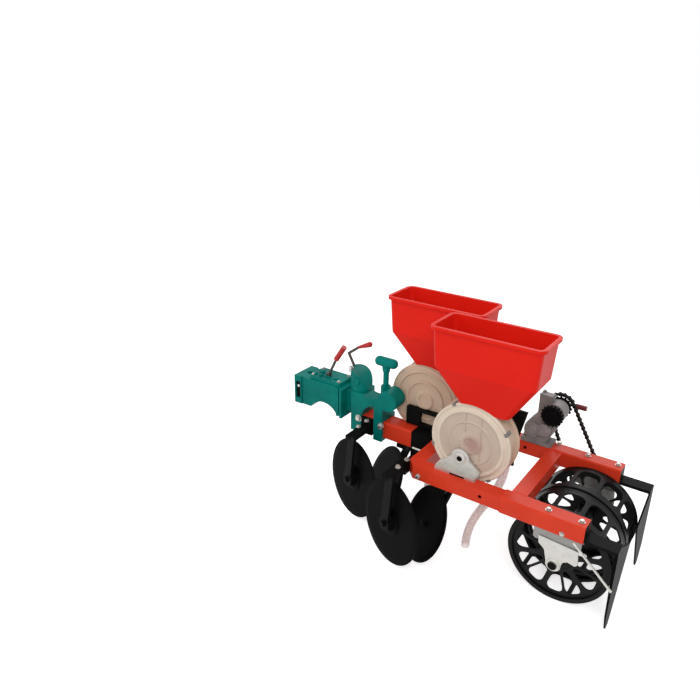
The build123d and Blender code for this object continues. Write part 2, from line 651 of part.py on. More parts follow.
# Hitch: arm clamped on the drawbar with a yoke, box casting on the swivel pin, adjusting screw
def make_hitch_arm():
    half_bar = drawbar_size / 2
    half_arm = arm_thickness / 2
    eye_low = hitch_pin_z - eye_height / 2
    eye_high = hitch_pin_z + eye_height / 2
    ear_top = eye_high + running_gap + ear_thickness
    ear_bottom = eye_low - running_gap - ear_thickness
    yoke_front = drawbar_front + hitch_wall
    root_top = arm_end_z + arm_end_radius
    dip_x = (arm_end_x + drawbar_front) / 2
    web_top = ThreePointArc((arm_end_x, 0, root_top), (dip_x, 0, ear_top - arm_dip / 2),
                            (drawbar_front, 0, ear_top))
    web_front = Line((drawbar_front, 0, ear_top), (drawbar_front, 0, drawbar_top))
    web_arch = ThreePointArc((drawbar_front, 0, drawbar_top), (dip_x + arm_dip, 0, arm_end_z - arm_end_radius),
                             (arm_end_x, 0, arm_end_z - arm_end_radius))
    web_rear = Line((arm_end_x, 0, arm_end_z - arm_end_radius), (arm_end_x, 0, root_top))
    web_face = make_face([web_top, web_front, web_arch, web_rear])
    jaw_side = half_bar + hitch_wall
    near_y = middle_y + jaw_side
    far_y = middle_y - half_arm
    arm = Pos(0, far_y, 0) * extrude(web_face, amount=near_y - far_y, dir=(0, 1, 0))
    arm += cross_rod(arm_end_x, arm_end_z, far_y, near_y, arm_end_radius)
    arm += upright(screw_x, middle_y, arm_end_z, root_top, half_arm)
    for outward in (1, -1):
        arm += block(drawbar_front, hitch_pin_x, middle_y + outward * half_bar, middle_y + outward * jaw_side,
                     ear_bottom - lug_drop, ear_top)
    arm += block(drawbar_front, yoke_front, middle_y - half_bar, middle_y + half_bar,
                 ear_bottom - lug_drop, ear_top)
    for low, high in ((ear_bottom - lug_drop, ear_bottom + ear_thickness), (ear_top - ear_thickness, ear_top)):
        ear = block(drawbar_front, hitch_pin_x, middle_y - eye_radius, middle_y + eye_radius, low, high)
        ear += upright(hitch_pin_x, middle_y, low, high, eye_radius)
        ear -= upright(hitch_pin_x, middle_y, low - overrun, high + overrun, hitch_pin_radius)
        arm += ear
    jaw_half = jaw_length / 2
    jaw = block(jaw_x - jaw_half, jaw_x + jaw_half, middle_y - jaw_side, middle_y + jaw_side,
                drawbar_low - hitch_wall, drawbar_top + hitch_wall)
    jaw += block(jaw_x - jaw_half, jaw_x + jaw_half, far_y, near_y, drawbar_top, arm_end_z)
    jaw -= block(jaw_x - jaw_length, jaw_x + jaw_length, middle_y - half_bar, middle_y + half_bar,
                 drawbar_low, drawbar_top)
    pieces["hitch_arm"] = arm + jaw
    cowl_front = hitch_pin_x + eye_radius
    cowl = cross_rod(cowl_front, ear_top, middle_y - cowl_width / 2, middle_y + cowl_width / 2, cowl_radius)
    cowl &= block(cowl_front - cowl_radius, cowl_front, middle_y - cowl_width, middle_y + cowl_width,
                  ear_top, ear_top + cowl_radius)
    cowl &= upright(cowl_front - cowl_width / 2, middle_y, ear_top, ear_top + cowl_radius, cowl_width / 2)
    pieces["hitch_cowl"] = cowl
    pin_low = ear_bottom - lug_drop - ear_thickness
    pin = upright(hitch_pin_x, middle_y, pin_low, ear_top, hitch_pin_radius)
    pin += upright(hitch_pin_x, middle_y, pin_low, pin_low + ear_thickness, hitch_pin_radius * 3 / 2)
    pieces["swivel_pin"] = pin
    screw = upright(screw_x, middle_y, root_top, screw_top + handle_radius, screw_radius)
    pieces["adjusting_screw"] = screw
    handle_z = screw_top + handle_radius
    reach = handle_length / 2 - handle_radius
    handle = rod_between((screw_x - reach, middle_y, handle_z), (screw_x + reach, middle_y, handle_z),
                         handle_radius)
    for end_x in (screw_x - reach, screw_x + reach):
        handle += Pos(end_x, middle_y, handle_z) * Sphere(handle_radius)
    handle += Pos(screw_x, middle_y, screw_top - handle_radius) * Cone(
        screw_radius * 5 / 4, handle_radius, handle_radius * 2, align=(Align.CENTER, Align.CENTER, Align.MIN))
    handle -= upright(screw_x, middle_y, root_top, screw_top + handle_radius, screw_radius)
    pieces["screw_handle"] = handle


# Box casting of the hitch with an arched underside, and the lever on its cover plate
def make_hitch_box():
    half_width = hitch_box_width / 2
    body_half = half_width - hitch_rim_step
    box_rear = hitch_pin_x + eye_radius + eye_clearance
    arch_rear = box_rear + 3 * flange_thickness
    socket_rear = hitch_box_front - socket_depth
    low = hitch_box_bottom
    outline = [
        ThreePointArc((arch_rear, 0, low), ((arch_rear + socket_rear) / 2, 0, low + hitch_waist),
                      (socket_rear, 0, low)),
        Polyline((socket_rear, 0, low), (hitch_box_front, 0, low), (hitch_box_front, 0, hitch_box_top),
                 (box_rear, 0, hitch_box_top), (box_rear, 0, low), (arch_rear, 0, low)),
    ]
    casting = Pos(0, middle_y - body_half, 0) * extrude(make_face(outline), amount=2 * body_half, dir=(0, 1, 0))
    casting += block(hitch_box_front - hitch_rim, hitch_box_front, middle_y - half_width,
                     middle_y + half_width, low, hitch_box_top)
    for step, grow in ((0, flange_step), (2, 0)):
        rib_rear = box_rear + step * flange_thickness
        casting += block(rib_rear, rib_rear + flange_thickness, middle_y - half_width - grow,
                         middle_y + half_width + grow, low, hitch_box_top)
    casting -= block(socket_rear, hitch_box_front + overrun, middle_y - half_width + hitch_wall,
                     middle_y + half_width - hitch_wall, low + hitch_wall, hitch_box_top - hitch_wall)
    casting -= block(hitch_box_front - hitch_rim + hitch_rim_step, hitch_box_front - hitch_rim_step,
                     middle_y - hitch_box_width, middle_y + hitch_box_width,
                     low + 2 * hitch_wall, hitch_box_top - 2 * hitch_wall)
    eye_low = hitch_pin_z - eye_height / 2
    eye_high = hitch_pin_z + eye_height / 2
    casting += block(hitch_pin_x, box_rear, middle_y - eye_radius, middle_y + eye_radius, eye_low, eye_high)
    casting += upright(hitch_pin_x, middle_y, eye_low, eye_high, eye_radius)
    casting -= upright(hitch_pin_x, middle_y, low, hitch_box_top, hitch_pin_radius + running_gap)
    hole_x = hitch_box_front - socket_depth / 2
    casting -= upright(hole_x, middle_y, low - overrun, hitch_box_top + overrun, socket_hole_radius)
    pieces["hitch_box"] = casting
    plate_rear = box_rear + 2 * flange_thickness
    plate_top = hitch_box_top + cover_plate_height
    plate = Pos(plate_rear + cover_plate_length / 2, middle_y, hitch_box_top) * RectangleRounded(
        cover_plate_length, 2 * body_half - 2 * hitch_rim_step, hitch_wall)
    cover = extrude(plate, amount=cover_plate_height)
    (foot_x, _), (grip_x, grip_z), (tip_x, tip_z) = box_lever
    lever_y = middle_y + eye_radius / 2
    pieces["hitch_cover"] = cover
    lever = upright(foot_x, lever_y, plate_top, plate_top + 3 * lever_radius, 2 * lever_radius)
    lever += rod_between((foot_x, lever_y, plate_top + 3 * lever_radius / 2), (grip_x, lever_y, grip_z),
                         lever_radius)
    knob = rod_between((grip_x, lever_y, grip_z), (tip_x, lever_y, tip_z), knob_radius)
    pieces["hitch_lever"] = lever - knob
    pieces["hitch_lever_knob"] = knob


# Bent lever on the cowl over the swivel pin
def make_lock_lever():
    foot, bend, grip, tip = [(x, middle_y, z) for x, z in lock_lever]
    lever = rod_between(foot, bend, lever_radius) + rod_between(bend, grip, lever_radius)
    lever += Pos(bend) * Sphere(lever_radius)
    knob_plane = Plane(origin=grip, z_dir=(Vector(*tip) - Vector(*grip)).normalized())
    knob_length = (Vector(*tip) - Vector(*grip)).length - knob_radius
    knob = knob_plane * Cone(lever_radius, knob_radius, knob_length,
                             align=(Align.CENTER, Align.CENTER, Align.MIN))
    knob += knob_plane * Pos(0, 0, knob_length) * Sphere(knob_radius)
    pieces["lock_lever"] = lever - pieces["hitch_cowl"] - knob
    pieces["lock_lever_knob"] = knob


# Covering blades behind the wheels, carried by plugs in the open ends of the rear arms
def make_blades():
    plug = beam_size / 2
    blade_x = wheel_x - wheel_radius - blade_gap
    for side, y, outward in (("left", left_beam_y, 1), ("right", right_beam_y, -1)):
        inner_y = y - outward * blade_width
        fold_y = y + outward * plug
        top_z = beam_z - plug
        shank = block(-fit_gap, arm_length - beam_overlap - overrun * 2, y - plug, y + plug, beam_low, beam_top)
        shank += block(blade_x - blade_thickness, -fit_gap, y - plug, y + plug,
                       top_z, top_z + blade_thickness * 2)
        pieces[f"blade_shank_{side}"] = shank
        corners = [(fold_y, top_z), (y - outward * plug, top_z), (inner_y, top_z - blade_rise),
                   (y - outward * plug, blade_clearance), (y, blade_clearance), (fold_y, blade_clearance + blade_rise)]
        face = make_face(Polyline(*[(0, cy, cz) for cy, cz in corners], close=True))
        blade = Pos(blade_x - blade_thickness, 0, 0) * extrude(face, amount=blade_thickness, dir=(1, 0, 0))
        fold = plate_xz([(blade_x, top_z), (blade_x + blade_gap / 2, top_z), (blade_x, blade_clearance + blade_rise)],
                        fold_y, fold_y - outward * blade_thickness)
        pieces[f"covering_blade_{side}"] = blade + fold
    stay_low = (blade_x - blade_thickness, left_beam_y + plug + stay_radius, stay_low_z)
    pieces["stay_rod"] = rod_between((stay_top_x, stay_radius, frame_bottom), stay_low, stay_radius)


make_frame()
make_wheels()
make_opener("left_row", 0, 0,
            (beam_front, beam_front + arm_plate_thickness, left_beam_y - beam_size / 2,
             left_beam_y + beam_size / 2, beam_low, beam_top),
            beam_low, (left_beam_y - beam_size / 2, left_beam_y + beam_size / 2))
bar_side = middle_y + drawbar_size / 2
make_opener("right_row", row_stagger, row_spacing,
            (jaw_x + jaw_length / 2 + eye_clearance, drawbar_front - arm_wall,
             bar_side, bar_side + arm_plate_thickness, drawbar_low, drawbar_top),
            drawbar_low, (middle_y - drawbar_size / 2, bar_side))
for meter_side, meter_x, meter_y, meter_height in (
        ("left", left_meter_x, left_meter_y, meter_z),
        ("right", right_meter_x, right_meter_y, meter_z + right_meter_rise)):
    make_meter_housing(meter_side, meter_y, meter_x, meter_height)
    make_hopper(meter_side, meter_y, meter_x, meter_height)
make_stand("left", left_meter_y, 1, (left_meter_x - stand_rear, left_meter_x + stand_front, left_beam_y),
           left_meter_x + stand_boss_forward, meter_z - stand_boss_drop)
make_stand("right", right_meter_y - meter_width, -1, (beam_front - beam_size, beam_front, right_beam_y),
           right_meter_x - stand_boss_forward, meter_z + right_meter_rise - stand_boss_drop)
make_fork()
make_guard()
make_seed_tubes()
make_drive()
make_hitch_arm()
make_hitch_box()
make_lock_lever()
make_blades()

boxes = [piece.bounding_box() for piece in pieces.values()]
x_middle = (min(box.min.X for box in boxes) + max(box.max.X for box in boxes)) / 2
y_middle = (min(box.min.Y for box in boxes) + max(box.max.Y for box in boxes)) / 2
to_origin = Pos(-x_middle, -y_middle, 0)

os.makedirs("parts", exist_ok=True)
for name, piece in pieces.items():
    export_step(to_origin * piece, f"parts/{name}.step")
print("origin", x_middle, y_middle, "lowest", min(box.min.Z for box in boxes))
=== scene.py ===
# %% [markdown]
# A two-row planter is dressed here, over solids that already have their real sizes and joints.
# Everything is in metres. X points forward to the hitch, Y to the left and Z up from the ground.

# %% Load the solids as a fixed frame
import json
import math

import bmesh
import bpy
from mathutils import Matrix, Vector


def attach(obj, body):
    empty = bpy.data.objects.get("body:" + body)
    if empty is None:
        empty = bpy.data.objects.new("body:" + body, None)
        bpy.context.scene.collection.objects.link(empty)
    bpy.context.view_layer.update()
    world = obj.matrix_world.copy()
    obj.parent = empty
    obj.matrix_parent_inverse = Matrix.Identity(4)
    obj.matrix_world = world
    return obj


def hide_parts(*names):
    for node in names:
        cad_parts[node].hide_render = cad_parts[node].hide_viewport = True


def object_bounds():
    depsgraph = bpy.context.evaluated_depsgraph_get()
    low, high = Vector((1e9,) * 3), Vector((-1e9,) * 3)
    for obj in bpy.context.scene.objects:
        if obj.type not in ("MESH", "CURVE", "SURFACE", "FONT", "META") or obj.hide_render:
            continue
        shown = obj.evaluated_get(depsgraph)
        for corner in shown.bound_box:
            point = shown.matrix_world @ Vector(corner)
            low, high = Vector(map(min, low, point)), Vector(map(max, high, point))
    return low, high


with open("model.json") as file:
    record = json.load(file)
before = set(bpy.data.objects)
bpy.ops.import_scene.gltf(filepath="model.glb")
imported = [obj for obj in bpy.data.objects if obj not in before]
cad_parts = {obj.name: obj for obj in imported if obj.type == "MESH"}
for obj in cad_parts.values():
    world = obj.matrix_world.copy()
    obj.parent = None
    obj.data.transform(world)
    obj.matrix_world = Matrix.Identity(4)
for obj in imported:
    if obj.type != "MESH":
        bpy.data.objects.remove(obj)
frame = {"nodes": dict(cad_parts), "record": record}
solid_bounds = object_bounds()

nodes = frame["nodes"]
low_corner = Vector(solid_bounds[0])
high_corner = Vector(solid_bounds[1])
print("solids:", len(nodes), "from", tuple(low_corner), "to", tuple(high_corner))

# %% [markdown]
# A finish is a small graph of shader nodes. Written node by node such a graph is hard to read, so a
# thin class wraps a socket and lets masks be written as plain formulas, such as 1 - dust * 0.5. Two of
# its methods are used in most finishes: contrast hardens a noise into a mask, and around lets a value
# wander by some width about its middle.

# %% A socket that takes part in formulas
class Wire:
    def __init__(self, tree, socket):
        self.tree = tree
        self.socket = socket

    def maths(self, operation, first, second=None):
        node = self.tree.nodes.new("ShaderNodeMath")
        node.operation = operation
        for slot, value in enumerate((first, second)):
            if isinstance(value, Wire):
                self.tree.links.new(value.socket, node.inputs[slot])
            elif value is not None:
                node.inputs[slot].default_value = value
        return Wire(self.tree, node.outputs[0])

    def __add__(self, other):
        return self.maths("ADD", self, other)

    def __radd__(self, other):
        return self.maths("ADD", other, self)

    def __sub__(self, other):
        return self.maths("SUBTRACT", self, other)

    def __rsub__(self, other):
        return self.maths("SUBTRACT", other, self)

    def __mul__(self, other):
        return self.maths("MULTIPLY", self, other)

    def __rmul__(self, other):
        return self.maths("MULTIPLY", other, self)

    def __truediv__(self, other):
        return self.maths("DIVIDE", self, other)

    def clamped(self):
        return self.maths("MINIMUM", self.maths("MAXIMUM", self, 0.0), 1.0)

    def above(self, edge, softness):
        return ((self - edge) / softness + 0.5).clamped()

    def contrast(self, gain, lift):
        return (self * gain - lift).clamped()

    def around(self, middle, width):
        return self * width + (middle - width / 2)


print("sockets take part in formulas")

# %% [markdown]
# Finishes come next. Every finish of this machine starts from one shader, Principled, and gets its
# colour, roughness and bump from a few patterns in the object's own coordinates. A helper class
# keeps those graphs short: one method adds any node, and a few more give the patterns used often.
# The Mix node has sockets for numbers, vectors and colours, so those for colours go by their place.

# %% One finish and its patterns
MIX_FACTOR, MIX_FIRST, MIX_SECOND, MIX_RESULT = 0, 6, 7, 2


class Finish:
    def __init__(self, name):
        self.material = bpy.data.materials.new(name)
        self.material.use_nodes = True
        self.tree = self.material.node_tree
        self.tree.nodes.clear()
        self.output = self.tree.nodes.new("ShaderNodeOutputMaterial")
        self.shader = self.tree.nodes.new("ShaderNodeBsdfPrincipled")
        self.tree.links.new(self.shader.outputs[0], self.output.inputs["Surface"])
        place = self.tree.nodes.new("ShaderNodeTexCoord")
        self.place = Wire(self.tree, place.outputs["Object"])

    def node(self, kind, settings=(), values=(), take=0):
        made = self.tree.nodes.new(kind)
        for key, value in dict(settings).items():
            setattr(made, key, value)
        for key, value in dict(values).items():
            if isinstance(value, Wire):
                self.tree.links.new(value.socket, made.inputs[key])
            else:
                made.inputs[key].default_value = value
        return Wire(self.tree, made.outputs[take])

    def noise(self, scale, detail=3.0, roughness=0.55, stretch=(1, 1, 1)):
        spot = self.place
        if stretch != (1, 1, 1):
            spot = self.node("ShaderNodeMapping", (), {"Vector": self.place, "Scale": stretch})
        return self.node("ShaderNodeTexNoise", (), {
            "Vector": spot, "Scale": scale, "Detail": detail, "Roughness": roughness})

    def height(self):
        return self.node("ShaderNodeSeparateXYZ", (), {"Vector": self.place}, take=2)

    def blend(self, factor, first, second):
        made = self.tree.nodes.new("ShaderNodeMix")
        made.data_type = "RGBA"
        for place, value in ((MIX_FACTOR, factor), (MIX_FIRST, first), (MIX_SECOND, second)):
            if isinstance(value, Wire):
                self.tree.links.new(value.socket, made.inputs[place])
            else:
                made.inputs[place].default_value = value
        return Wire(self.tree, made.outputs[MIX_RESULT])

    def use(self, **sockets):
        for key, value in sockets.items():
            socket = self.shader.inputs[key.replace("_", " ")]
            if isinstance(value, Wire):
                self.tree.links.new(value.socket, socket)
            else:
                socket.default_value = value

    def bump(self, relief, distance, strength=1.0):
        normal = self.node("ShaderNodeBump", (), {
            "Height": relief, "Distance": distance, "Strength": strength})
        self.tree.links.new(normal.socket, self.shader.inputs["Normal"])


def tone(red, green, blue):
    return (red, green, blue, 1.0)


print("finish helper ready")

# %% [markdown]
# Paint on a farm machine is never one flat colour. Here it drifts a little in tone, gathers pale dust
# low down, and has the faint waviness of a sprayed coat, which shows only in its highlights.

# %% Sprayed paint
DUST = tone(0.30, 0.24, 0.18)
DUST_LINE, DUST_FADE, DUST_ROUGHNESS = 0.30, 3.0, 0.4
SPRAY_WAVES = 0.00012


def sprayed_paint(name, colour, shade, roughness, dust=0.0, shine=0.3):
    paint = Finish(name)
    drift = paint.noise(9.0, 2.0)
    fine = paint.noise(160.0, 4.0, 0.6)
    body = paint.blend(drift.contrast(1.6, 0.3), tone(*shade), tone(*colour))
    low = ((DUST_LINE - paint.height()) * DUST_FADE).clamped()
    settled = (low * paint.noise(26.0, 5.0, 0.65).contrast(2.4, 0.9) * dust).clamped()
    paint.use(Base_Color=paint.blend(settled, body, DUST), Specular_IOR_Level=shine,
              Roughness=settled * DUST_ROUGHNESS + fine.around(roughness, 0.16))
    paint.bump(paint.noise(420.0, 2.0, 0.5), SPRAY_WAVES, 0.5)
    return paint.material


materials = {}
materials["frame_paint"] = sprayed_paint(
    "frame_red_paint", (0.74, 0.052, 0.018), (0.62, 0.036, 0.012), 0.38, dust=0.12, shine=0.16)
materials["black_paint"] = sprayed_paint(
    "black_paint", (0.005, 0.005, 0.005), (0.003, 0.003, 0.003), 0.44, dust=0.03, shine=0.04)
materials["knob_red"] = sprayed_paint("red_knob", (0.50, 0.016, 0.014), (0.40, 0.010, 0.010), 0.30)
print("paints:", sorted(materials))

# %% [markdown]
# The hoppers, meters, wheels and seed tubes are moulded plastic. The colour goes right through, so it
# stays even, and only the roughness is disturbed by handling smears. Pale plastic lets some light
# into itself, which subsurface scattering gives, and the seed tubes are half clear.

# %% Moulded plastics
LIGHT_DEPTH = 0.004


def moulded(name, colour, shade, roughness, grain, depth=0.00008, through=0.0, shine=0.25, cover=1.0):
    plastic = Finish(name)
    drift = plastic.noise(5.0, 2.0)
    smear = plastic.noise(14.0, 4.0, 0.6, (1.0, 1.0, 0.35))
    body = plastic.blend(drift.contrast(1.5, 0.25), tone(*shade), tone(*colour))
    plastic.use(Base_Color=body, Roughness=smear.around(roughness, 0.22), Specular_IOR_Level=shine,
                Subsurface_Weight=through, Subsurface_Scale=LIGHT_DEPTH, Alpha=cover)
    plastic.bump(plastic.noise(grain, 2.0, 0.5), depth, 0.5)
    return plastic.material


materials["hopper_plastic"] = moulded(
    "hopper_plastic", (0.80, 0.017, 0.008), (0.72, 0.013, 0.006), 0.40, 300.0, shine=0.10)
materials["meter_cream"] = moulded(
    "cream_housing", (0.66, 0.51, 0.38), (0.55, 0.40, 0.29), 0.42, 260.0, depth=0.0001, through=0.15)
materials["tube_clear"] = moulded(
    "seed_tube_plastic", (0.76, 0.52, 0.47), (0.62, 0.36, 0.33), 0.28, 200.0, depth=0.0001, through=0.3,
    cover=0.3)
materials["wheel_black"] = moulded(
    "wheel_plastic", (0.005, 0.005, 0.005), (0.003, 0.003, 0.003), 0.42, 340.0, depth=0.0002, shine=0.15)
print("paints and plastics:", sorted(materials))

# %% [markdown]
# Through the near meter's cover some seed shows as a dull red cloud, the seed's colour darkened as
# its painted shadow, and the cover is greyer inside its rim. Both are masks of the distance from a
# point, so they need no picture.

# %% Meter window with the seed and its painted shadow
WINDOW_RADIUS, WINDOW_EDGE = 0.082, 0.006
SEED_SHIFT, SEED_RADIUS = Vector((-0.008, 0.0, -0.002)), 0.024
SEED_AND_SHADOW_TONE, SEED_FADE, SEED_AND_SHADOW_STRENGTH = tone(0.30, 0.12, 0.11), 60.0, 0.55


def meter_window(name, centre):
    cover = Finish(name)

    def distance_from(place):
        return cover.node("ShaderNodeVectorMath", {"operation": "DISTANCE"},
                          {0: cover.place, 1: tuple(place)}, take=1)

    cloud = cover.noise(22.0, 4.0, 0.6)
    drift = cloud.contrast(1.6, 0.3)
    inside = 1.0 - distance_from(centre).above(WINDOW_RADIUS, WINDOW_EDGE)
    # the seed's red, darkened as its painted shadow
    seed_and_shadow_patch = (SEED_RADIUS - distance_from(centre + SEED_SHIFT)) * SEED_FADE
    seeds = (seed_and_shadow_patch + cloud * 0.9).clamped() * SEED_AND_SHADOW_STRENGTH
    pale = cover.blend(drift, tone(0.50, 0.39, 0.31), tone(0.58, 0.47, 0.38))
    rim = cover.blend(drift, tone(0.66, 0.55, 0.43), tone(0.76, 0.66, 0.55))
    cover.use(Base_Color=cover.blend(seeds * inside, cover.blend(inside, rim, pale), SEED_AND_SHADOW_TONE),
              Roughness=cloud.around(0.34, 0.2), Specular_IOR_Level=0.3)
    cover.bump(cover.noise(240.0, 2.0, 0.5), 0.0001, 0.5)
    return cover.material


print("meter window ready")

# %% [markdown]
# Cast metal keeps the skin of the sand it was poured in. The teal paint of the hitch follows that
# skin, so it has coarse bumps under the coat, and its tone drifts slowly from deep to light.

# %% Cast skins
SAND_GRAIN, SAND_DEPTH, SKIN_SHINE = 150.0, 0.0006, 0.06


def cast_skin(name, colour, shade, roughness, metallic):
    skin = Finish(name)
    lumps = skin.noise(SAND_GRAIN, 5.0, 0.62)
    broad = skin.noise(16.0, 4.0, 0.6)
    body = skin.blend(broad.contrast(1.8, 0.4), tone(*shade), tone(*colour))
    skin.use(Base_Color=body, Roughness=lumps.around(roughness, 0.3), Metallic=metallic,
             Specular_IOR_Level=SKIN_SHINE)
    skin.bump(lumps, SAND_DEPTH, 0.6)
    return skin.material


materials["hitch_paint"] = cast_skin(
    "hitch_teal_cast", (0.001, 0.225, 0.19), (0.0005, 0.125, 0.107), 0.34, metallic=0.0)
materials["cast_grey"] = cast_skin(
    "bare_casting", (0.36, 0.34, 0.335), (0.17, 0.162, 0.158), 0.55, metallic=0.3)
print("castings ready")

# %% [markdown]
# Zinc plate has a patchwork of large crystals, and turned or rolled steel has fine lines along one
# direction. Both are metals, so their colour is the colour of the reflection. The discs and blades
# are the same rolled steel under a thin dull black coat, so they show the lines but aren't metallic.

# %% Plated and bright steel
def plated(name, dark=(0.50, 0.49, 0.46), light=(0.68, 0.67, 0.63)):
    zinc = Finish(name)
    cells = zinc.node("ShaderNodeTexVoronoi", (), {"Vector": zinc.place, "Scale": 90.0}, take="Color")
    grey = zinc.node("ShaderNodeRGBToBW", (), {"Color": cells})
    wear = zinc.noise(24.0, 5.0, 0.6)
    zinc.use(Base_Color=zinc.blend(grey * 0.6 + wear * 0.3, tone(*dark), tone(*light)),
             Roughness=grey * 0.16 + wear * 0.14 + 0.32, Metallic=0.7)
    zinc.bump(wear, 0.0002, 0.3)
    return zinc.material


def rolled_steel(name, colour, shade, roughness, metallic=0.95, shine=0.5):
    steel = Finish(name)
    lines = steel.noise(60.0, 6.0, 0.7, (0.15, 6.0, 6.0))
    stain = steel.noise(12.0, 4.0, 0.6)
    steel.use(Base_Color=steel.blend(stain.contrast(1.7, 0.35), tone(*shade), tone(*colour)),
              Roughness=lines * 0.22 + (roughness - 0.1), Metallic=metallic, Specular_IOR_Level=shine)
    steel.bump(lines, 0.0001, 0.3)
    return steel.material


materials["galvanised"] = plated("zinc_plate")
materials["bright_steel"] = rolled_steel("bright_steel", (0.58, 0.57, 0.54), (0.40, 0.39, 0.37), 0.34)
materials["chain_steel"] = rolled_steel(
    "oiled_chain", (0.045, 0.042, 0.04), (0.02, 0.018, 0.016), 0.42, metallic=0.8)
materials["disc_steel"] = rolled_steel(
    "disc_black_steel", (0.004, 0.0035, 0.0035), (0.002, 0.002, 0.002), 0.42, metallic=0.0, shine=0.02)
print("finishes by slot:", len(materials))

# %% [markdown]
# Each solid takes the finish of its slot in the record. The solids themselves are left as they are.
# The levers' rods are duller than the bolts, and the crank's grip is a deeper red than the knobs.

# %% Dress the solids
slot_of_node = {entry["node"]: entry["material_slot"] for entry in frame["record"]["subparts"]}
for node_name, solid in nodes.items():
    solid.data.materials.clear()
    solid.data.materials.append(materials[slot_of_node[node_name]])
dark_rod = rolled_steel("dark_rod", (0.10, 0.095, 0.09), (0.05, 0.045, 0.04), 0.4, metallic=0.8)
for node_name in ("hitch_lever", "lock_lever"):
    nodes[node_name].data.materials[0] = dark_rod
crank_grip = sprayed_paint("crank_grip", (0.17, 0.020, 0.024), (0.10, 0.012, 0.014), 0.34)
nodes["drive_crank"].data.materials[0] = crank_grip
print("dressed", len(nodes), "solids")

# %% [markdown]
# The small parts sit on the big ones, so their places are read from the solids: a spot is given as
# shares of a solid's box. If a beam gets longer in the source, its bolts stay where they belong.

# %% Spots on the solids
MM = 0.001
boxes = {}
for node_name, solid in nodes.items():
    points = [vertex.co for vertex in solid.data.vertices]
    boxes[node_name] = (Vector([min(point[axis] for point in points) for axis in range(3)]),
                        Vector([max(point[axis] for point in points) for axis in range(3)]))


def spot(node, along, across, up, lift=(0, 0, 0)):
    low, high = boxes[node]
    place = [low[axis] + (high[axis] - low[axis]) * share for axis, share in enumerate((along, across, up))]
    return Vector(place) + Vector(lift) * MM


print("axle at", spot("wheel_axle", 0.5, 0.5, 0.5))

# %% [markdown]
# What repeats is made with Geometry Nodes: bolts, chain links, drum teeth and weld beads. A recipe is
# a node tree built here in code, with named inputs for its sizes. Its last two nodes turn instances
# into real faces and give them their finish, because the exported model knows no instances.

# %% A recipe
class Recipe:
    def __init__(self, name, sizes):
        self.tree = bpy.data.node_groups.new(name, "GeometryNodeTree")
        self.tree.interface.new_socket("Geometry", in_out="INPUT", socket_type="NodeSocketGeometry")
        self.tree.interface.new_socket("Geometry", in_out="OUTPUT", socket_type="NodeSocketGeometry")
        for label in sizes:
            self.tree.interface.new_socket(label, in_out="INPUT", socket_type="NodeSocketFloat")
        self.source = self.tree.nodes.new("NodeGroupInput")
        self.result = self.tree.nodes.new("NodeGroupOutput")

    def size(self, label):
        return self.source.outputs[label]

    def add(self, kind, values=(), settings=(), take=0):
        made = self.tree.nodes.new(kind)
        for key, value in dict(settings).items():
            setattr(made, key, value)
        for key, value in dict(values).items():
            if isinstance(value, bpy.types.NodeSocket):
                self.tree.links.new(value, made.inputs[key])
            else:
                made.inputs[key].default_value = value
        return made.outputs[take]

    def maths(self, operation, first, second):
        return self.add("ShaderNodeMath", {0: first, 1: second}, {"operation": operation})

    def share(self, label, factor):
        return self.maths("MULTIPLY", self.size(label), factor)

    def vector(self, x=0.0, y=0.0, z=0.0):
        return self.add("ShaderNodeCombineXYZ", {"X": x, "Y": y, "Z": z})

    def moved(self, geometry, shift=None, turn=(0.0, 0.0, 0.0), stretch=(1.0, 1.0, 1.0)):
        values = {"Geometry": geometry, "Rotation": turn, "Scale": stretch}
        if shift is not None:
            values["Translation"] = shift
        return self.add("GeometryNodeTransform", values)

    def round_bar(self, radius, depth, sides=16):
        return self.add("GeometryNodeMeshCylinder", {"Vertices": sides, "Radius": radius, "Depth": depth})

    def joined(self, *parts):
        node = self.tree.nodes.new("GeometryNodeJoinGeometry")
        for part in parts:
            self.tree.links.new(part, node.inputs[0])
        return node.outputs[0]

    def attribute(self, name, kind="FLOAT_VECTOR"):
        return self.add("GeometryNodeInputNamedAttribute", {"Name": name}, {"data_type": kind})

    def end(self, geometry):
        plain = self.add("GeometryNodeRealizeInstances", {"Geometry": geometry})
        self.paint = self.tree.nodes.new("GeometryNodeSetMaterial")
        self.tree.links.new(plain, self.paint.inputs["Geometry"])
        self.tree.links.new(self.paint.outputs[0], self.result.inputs[0])


print("recipes can be written")

# %% [markdown]
# A recipe grows on a mesh of seed points or on a path. A seed point carries a place, the way it faces
# and a width. The modifier is read out into a plain mesh and removed, and the piece is set on its
# body, so that it moves with the joint.

# %% Grow a recipe
def grow(name, recipe, seeds, slot, body, sizes):
    recipe.paint.inputs["Material"].default_value = materials[slot]
    piece = bpy.data.objects.new(name, seeds)
    bpy.context.scene.collection.objects.link(piece)
    layer = piece.modifiers.new("recipe", "NODES")
    layer.node_group = recipe.tree
    for item in recipe.tree.interface.items_tree:
        if item.in_out == "INPUT" and item.name in sizes:
            layer[item.identifier] = sizes[item.name]
    made = bpy.data.meshes.new_from_object(piece.evaluated_get(bpy.context.evaluated_depsgraph_get()))
    piece.modifiers.remove(layer)
    piece.data = made
    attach(piece, body)
    print(name, "grown:", len(made.polygons), "faces")
    return piece


def seed_points(name, rows):
    mesh = bpy.data.meshes.new(name)
    mesh.from_pydata([place for place, facing, size in rows], [], [])
    mesh.attributes.new("facing", "FLOAT_VECTOR", "POINT")
    mesh.attributes.new("width", "FLOAT", "POINT")
    for index, (place, facing, size) in enumerate(rows):
        mesh.attributes["facing"].data[index].vector = facing
        mesh.attributes["width"].data[index].value = size
    return mesh


print("recipes can be grown")

# %% [markdown]
# Bolts hold the brackets, clamps and castings. One recipe makes a washer, a hexagon head and the
# chamfer on top of it, all as shares of the bolt's width, and turns each to face its own way.

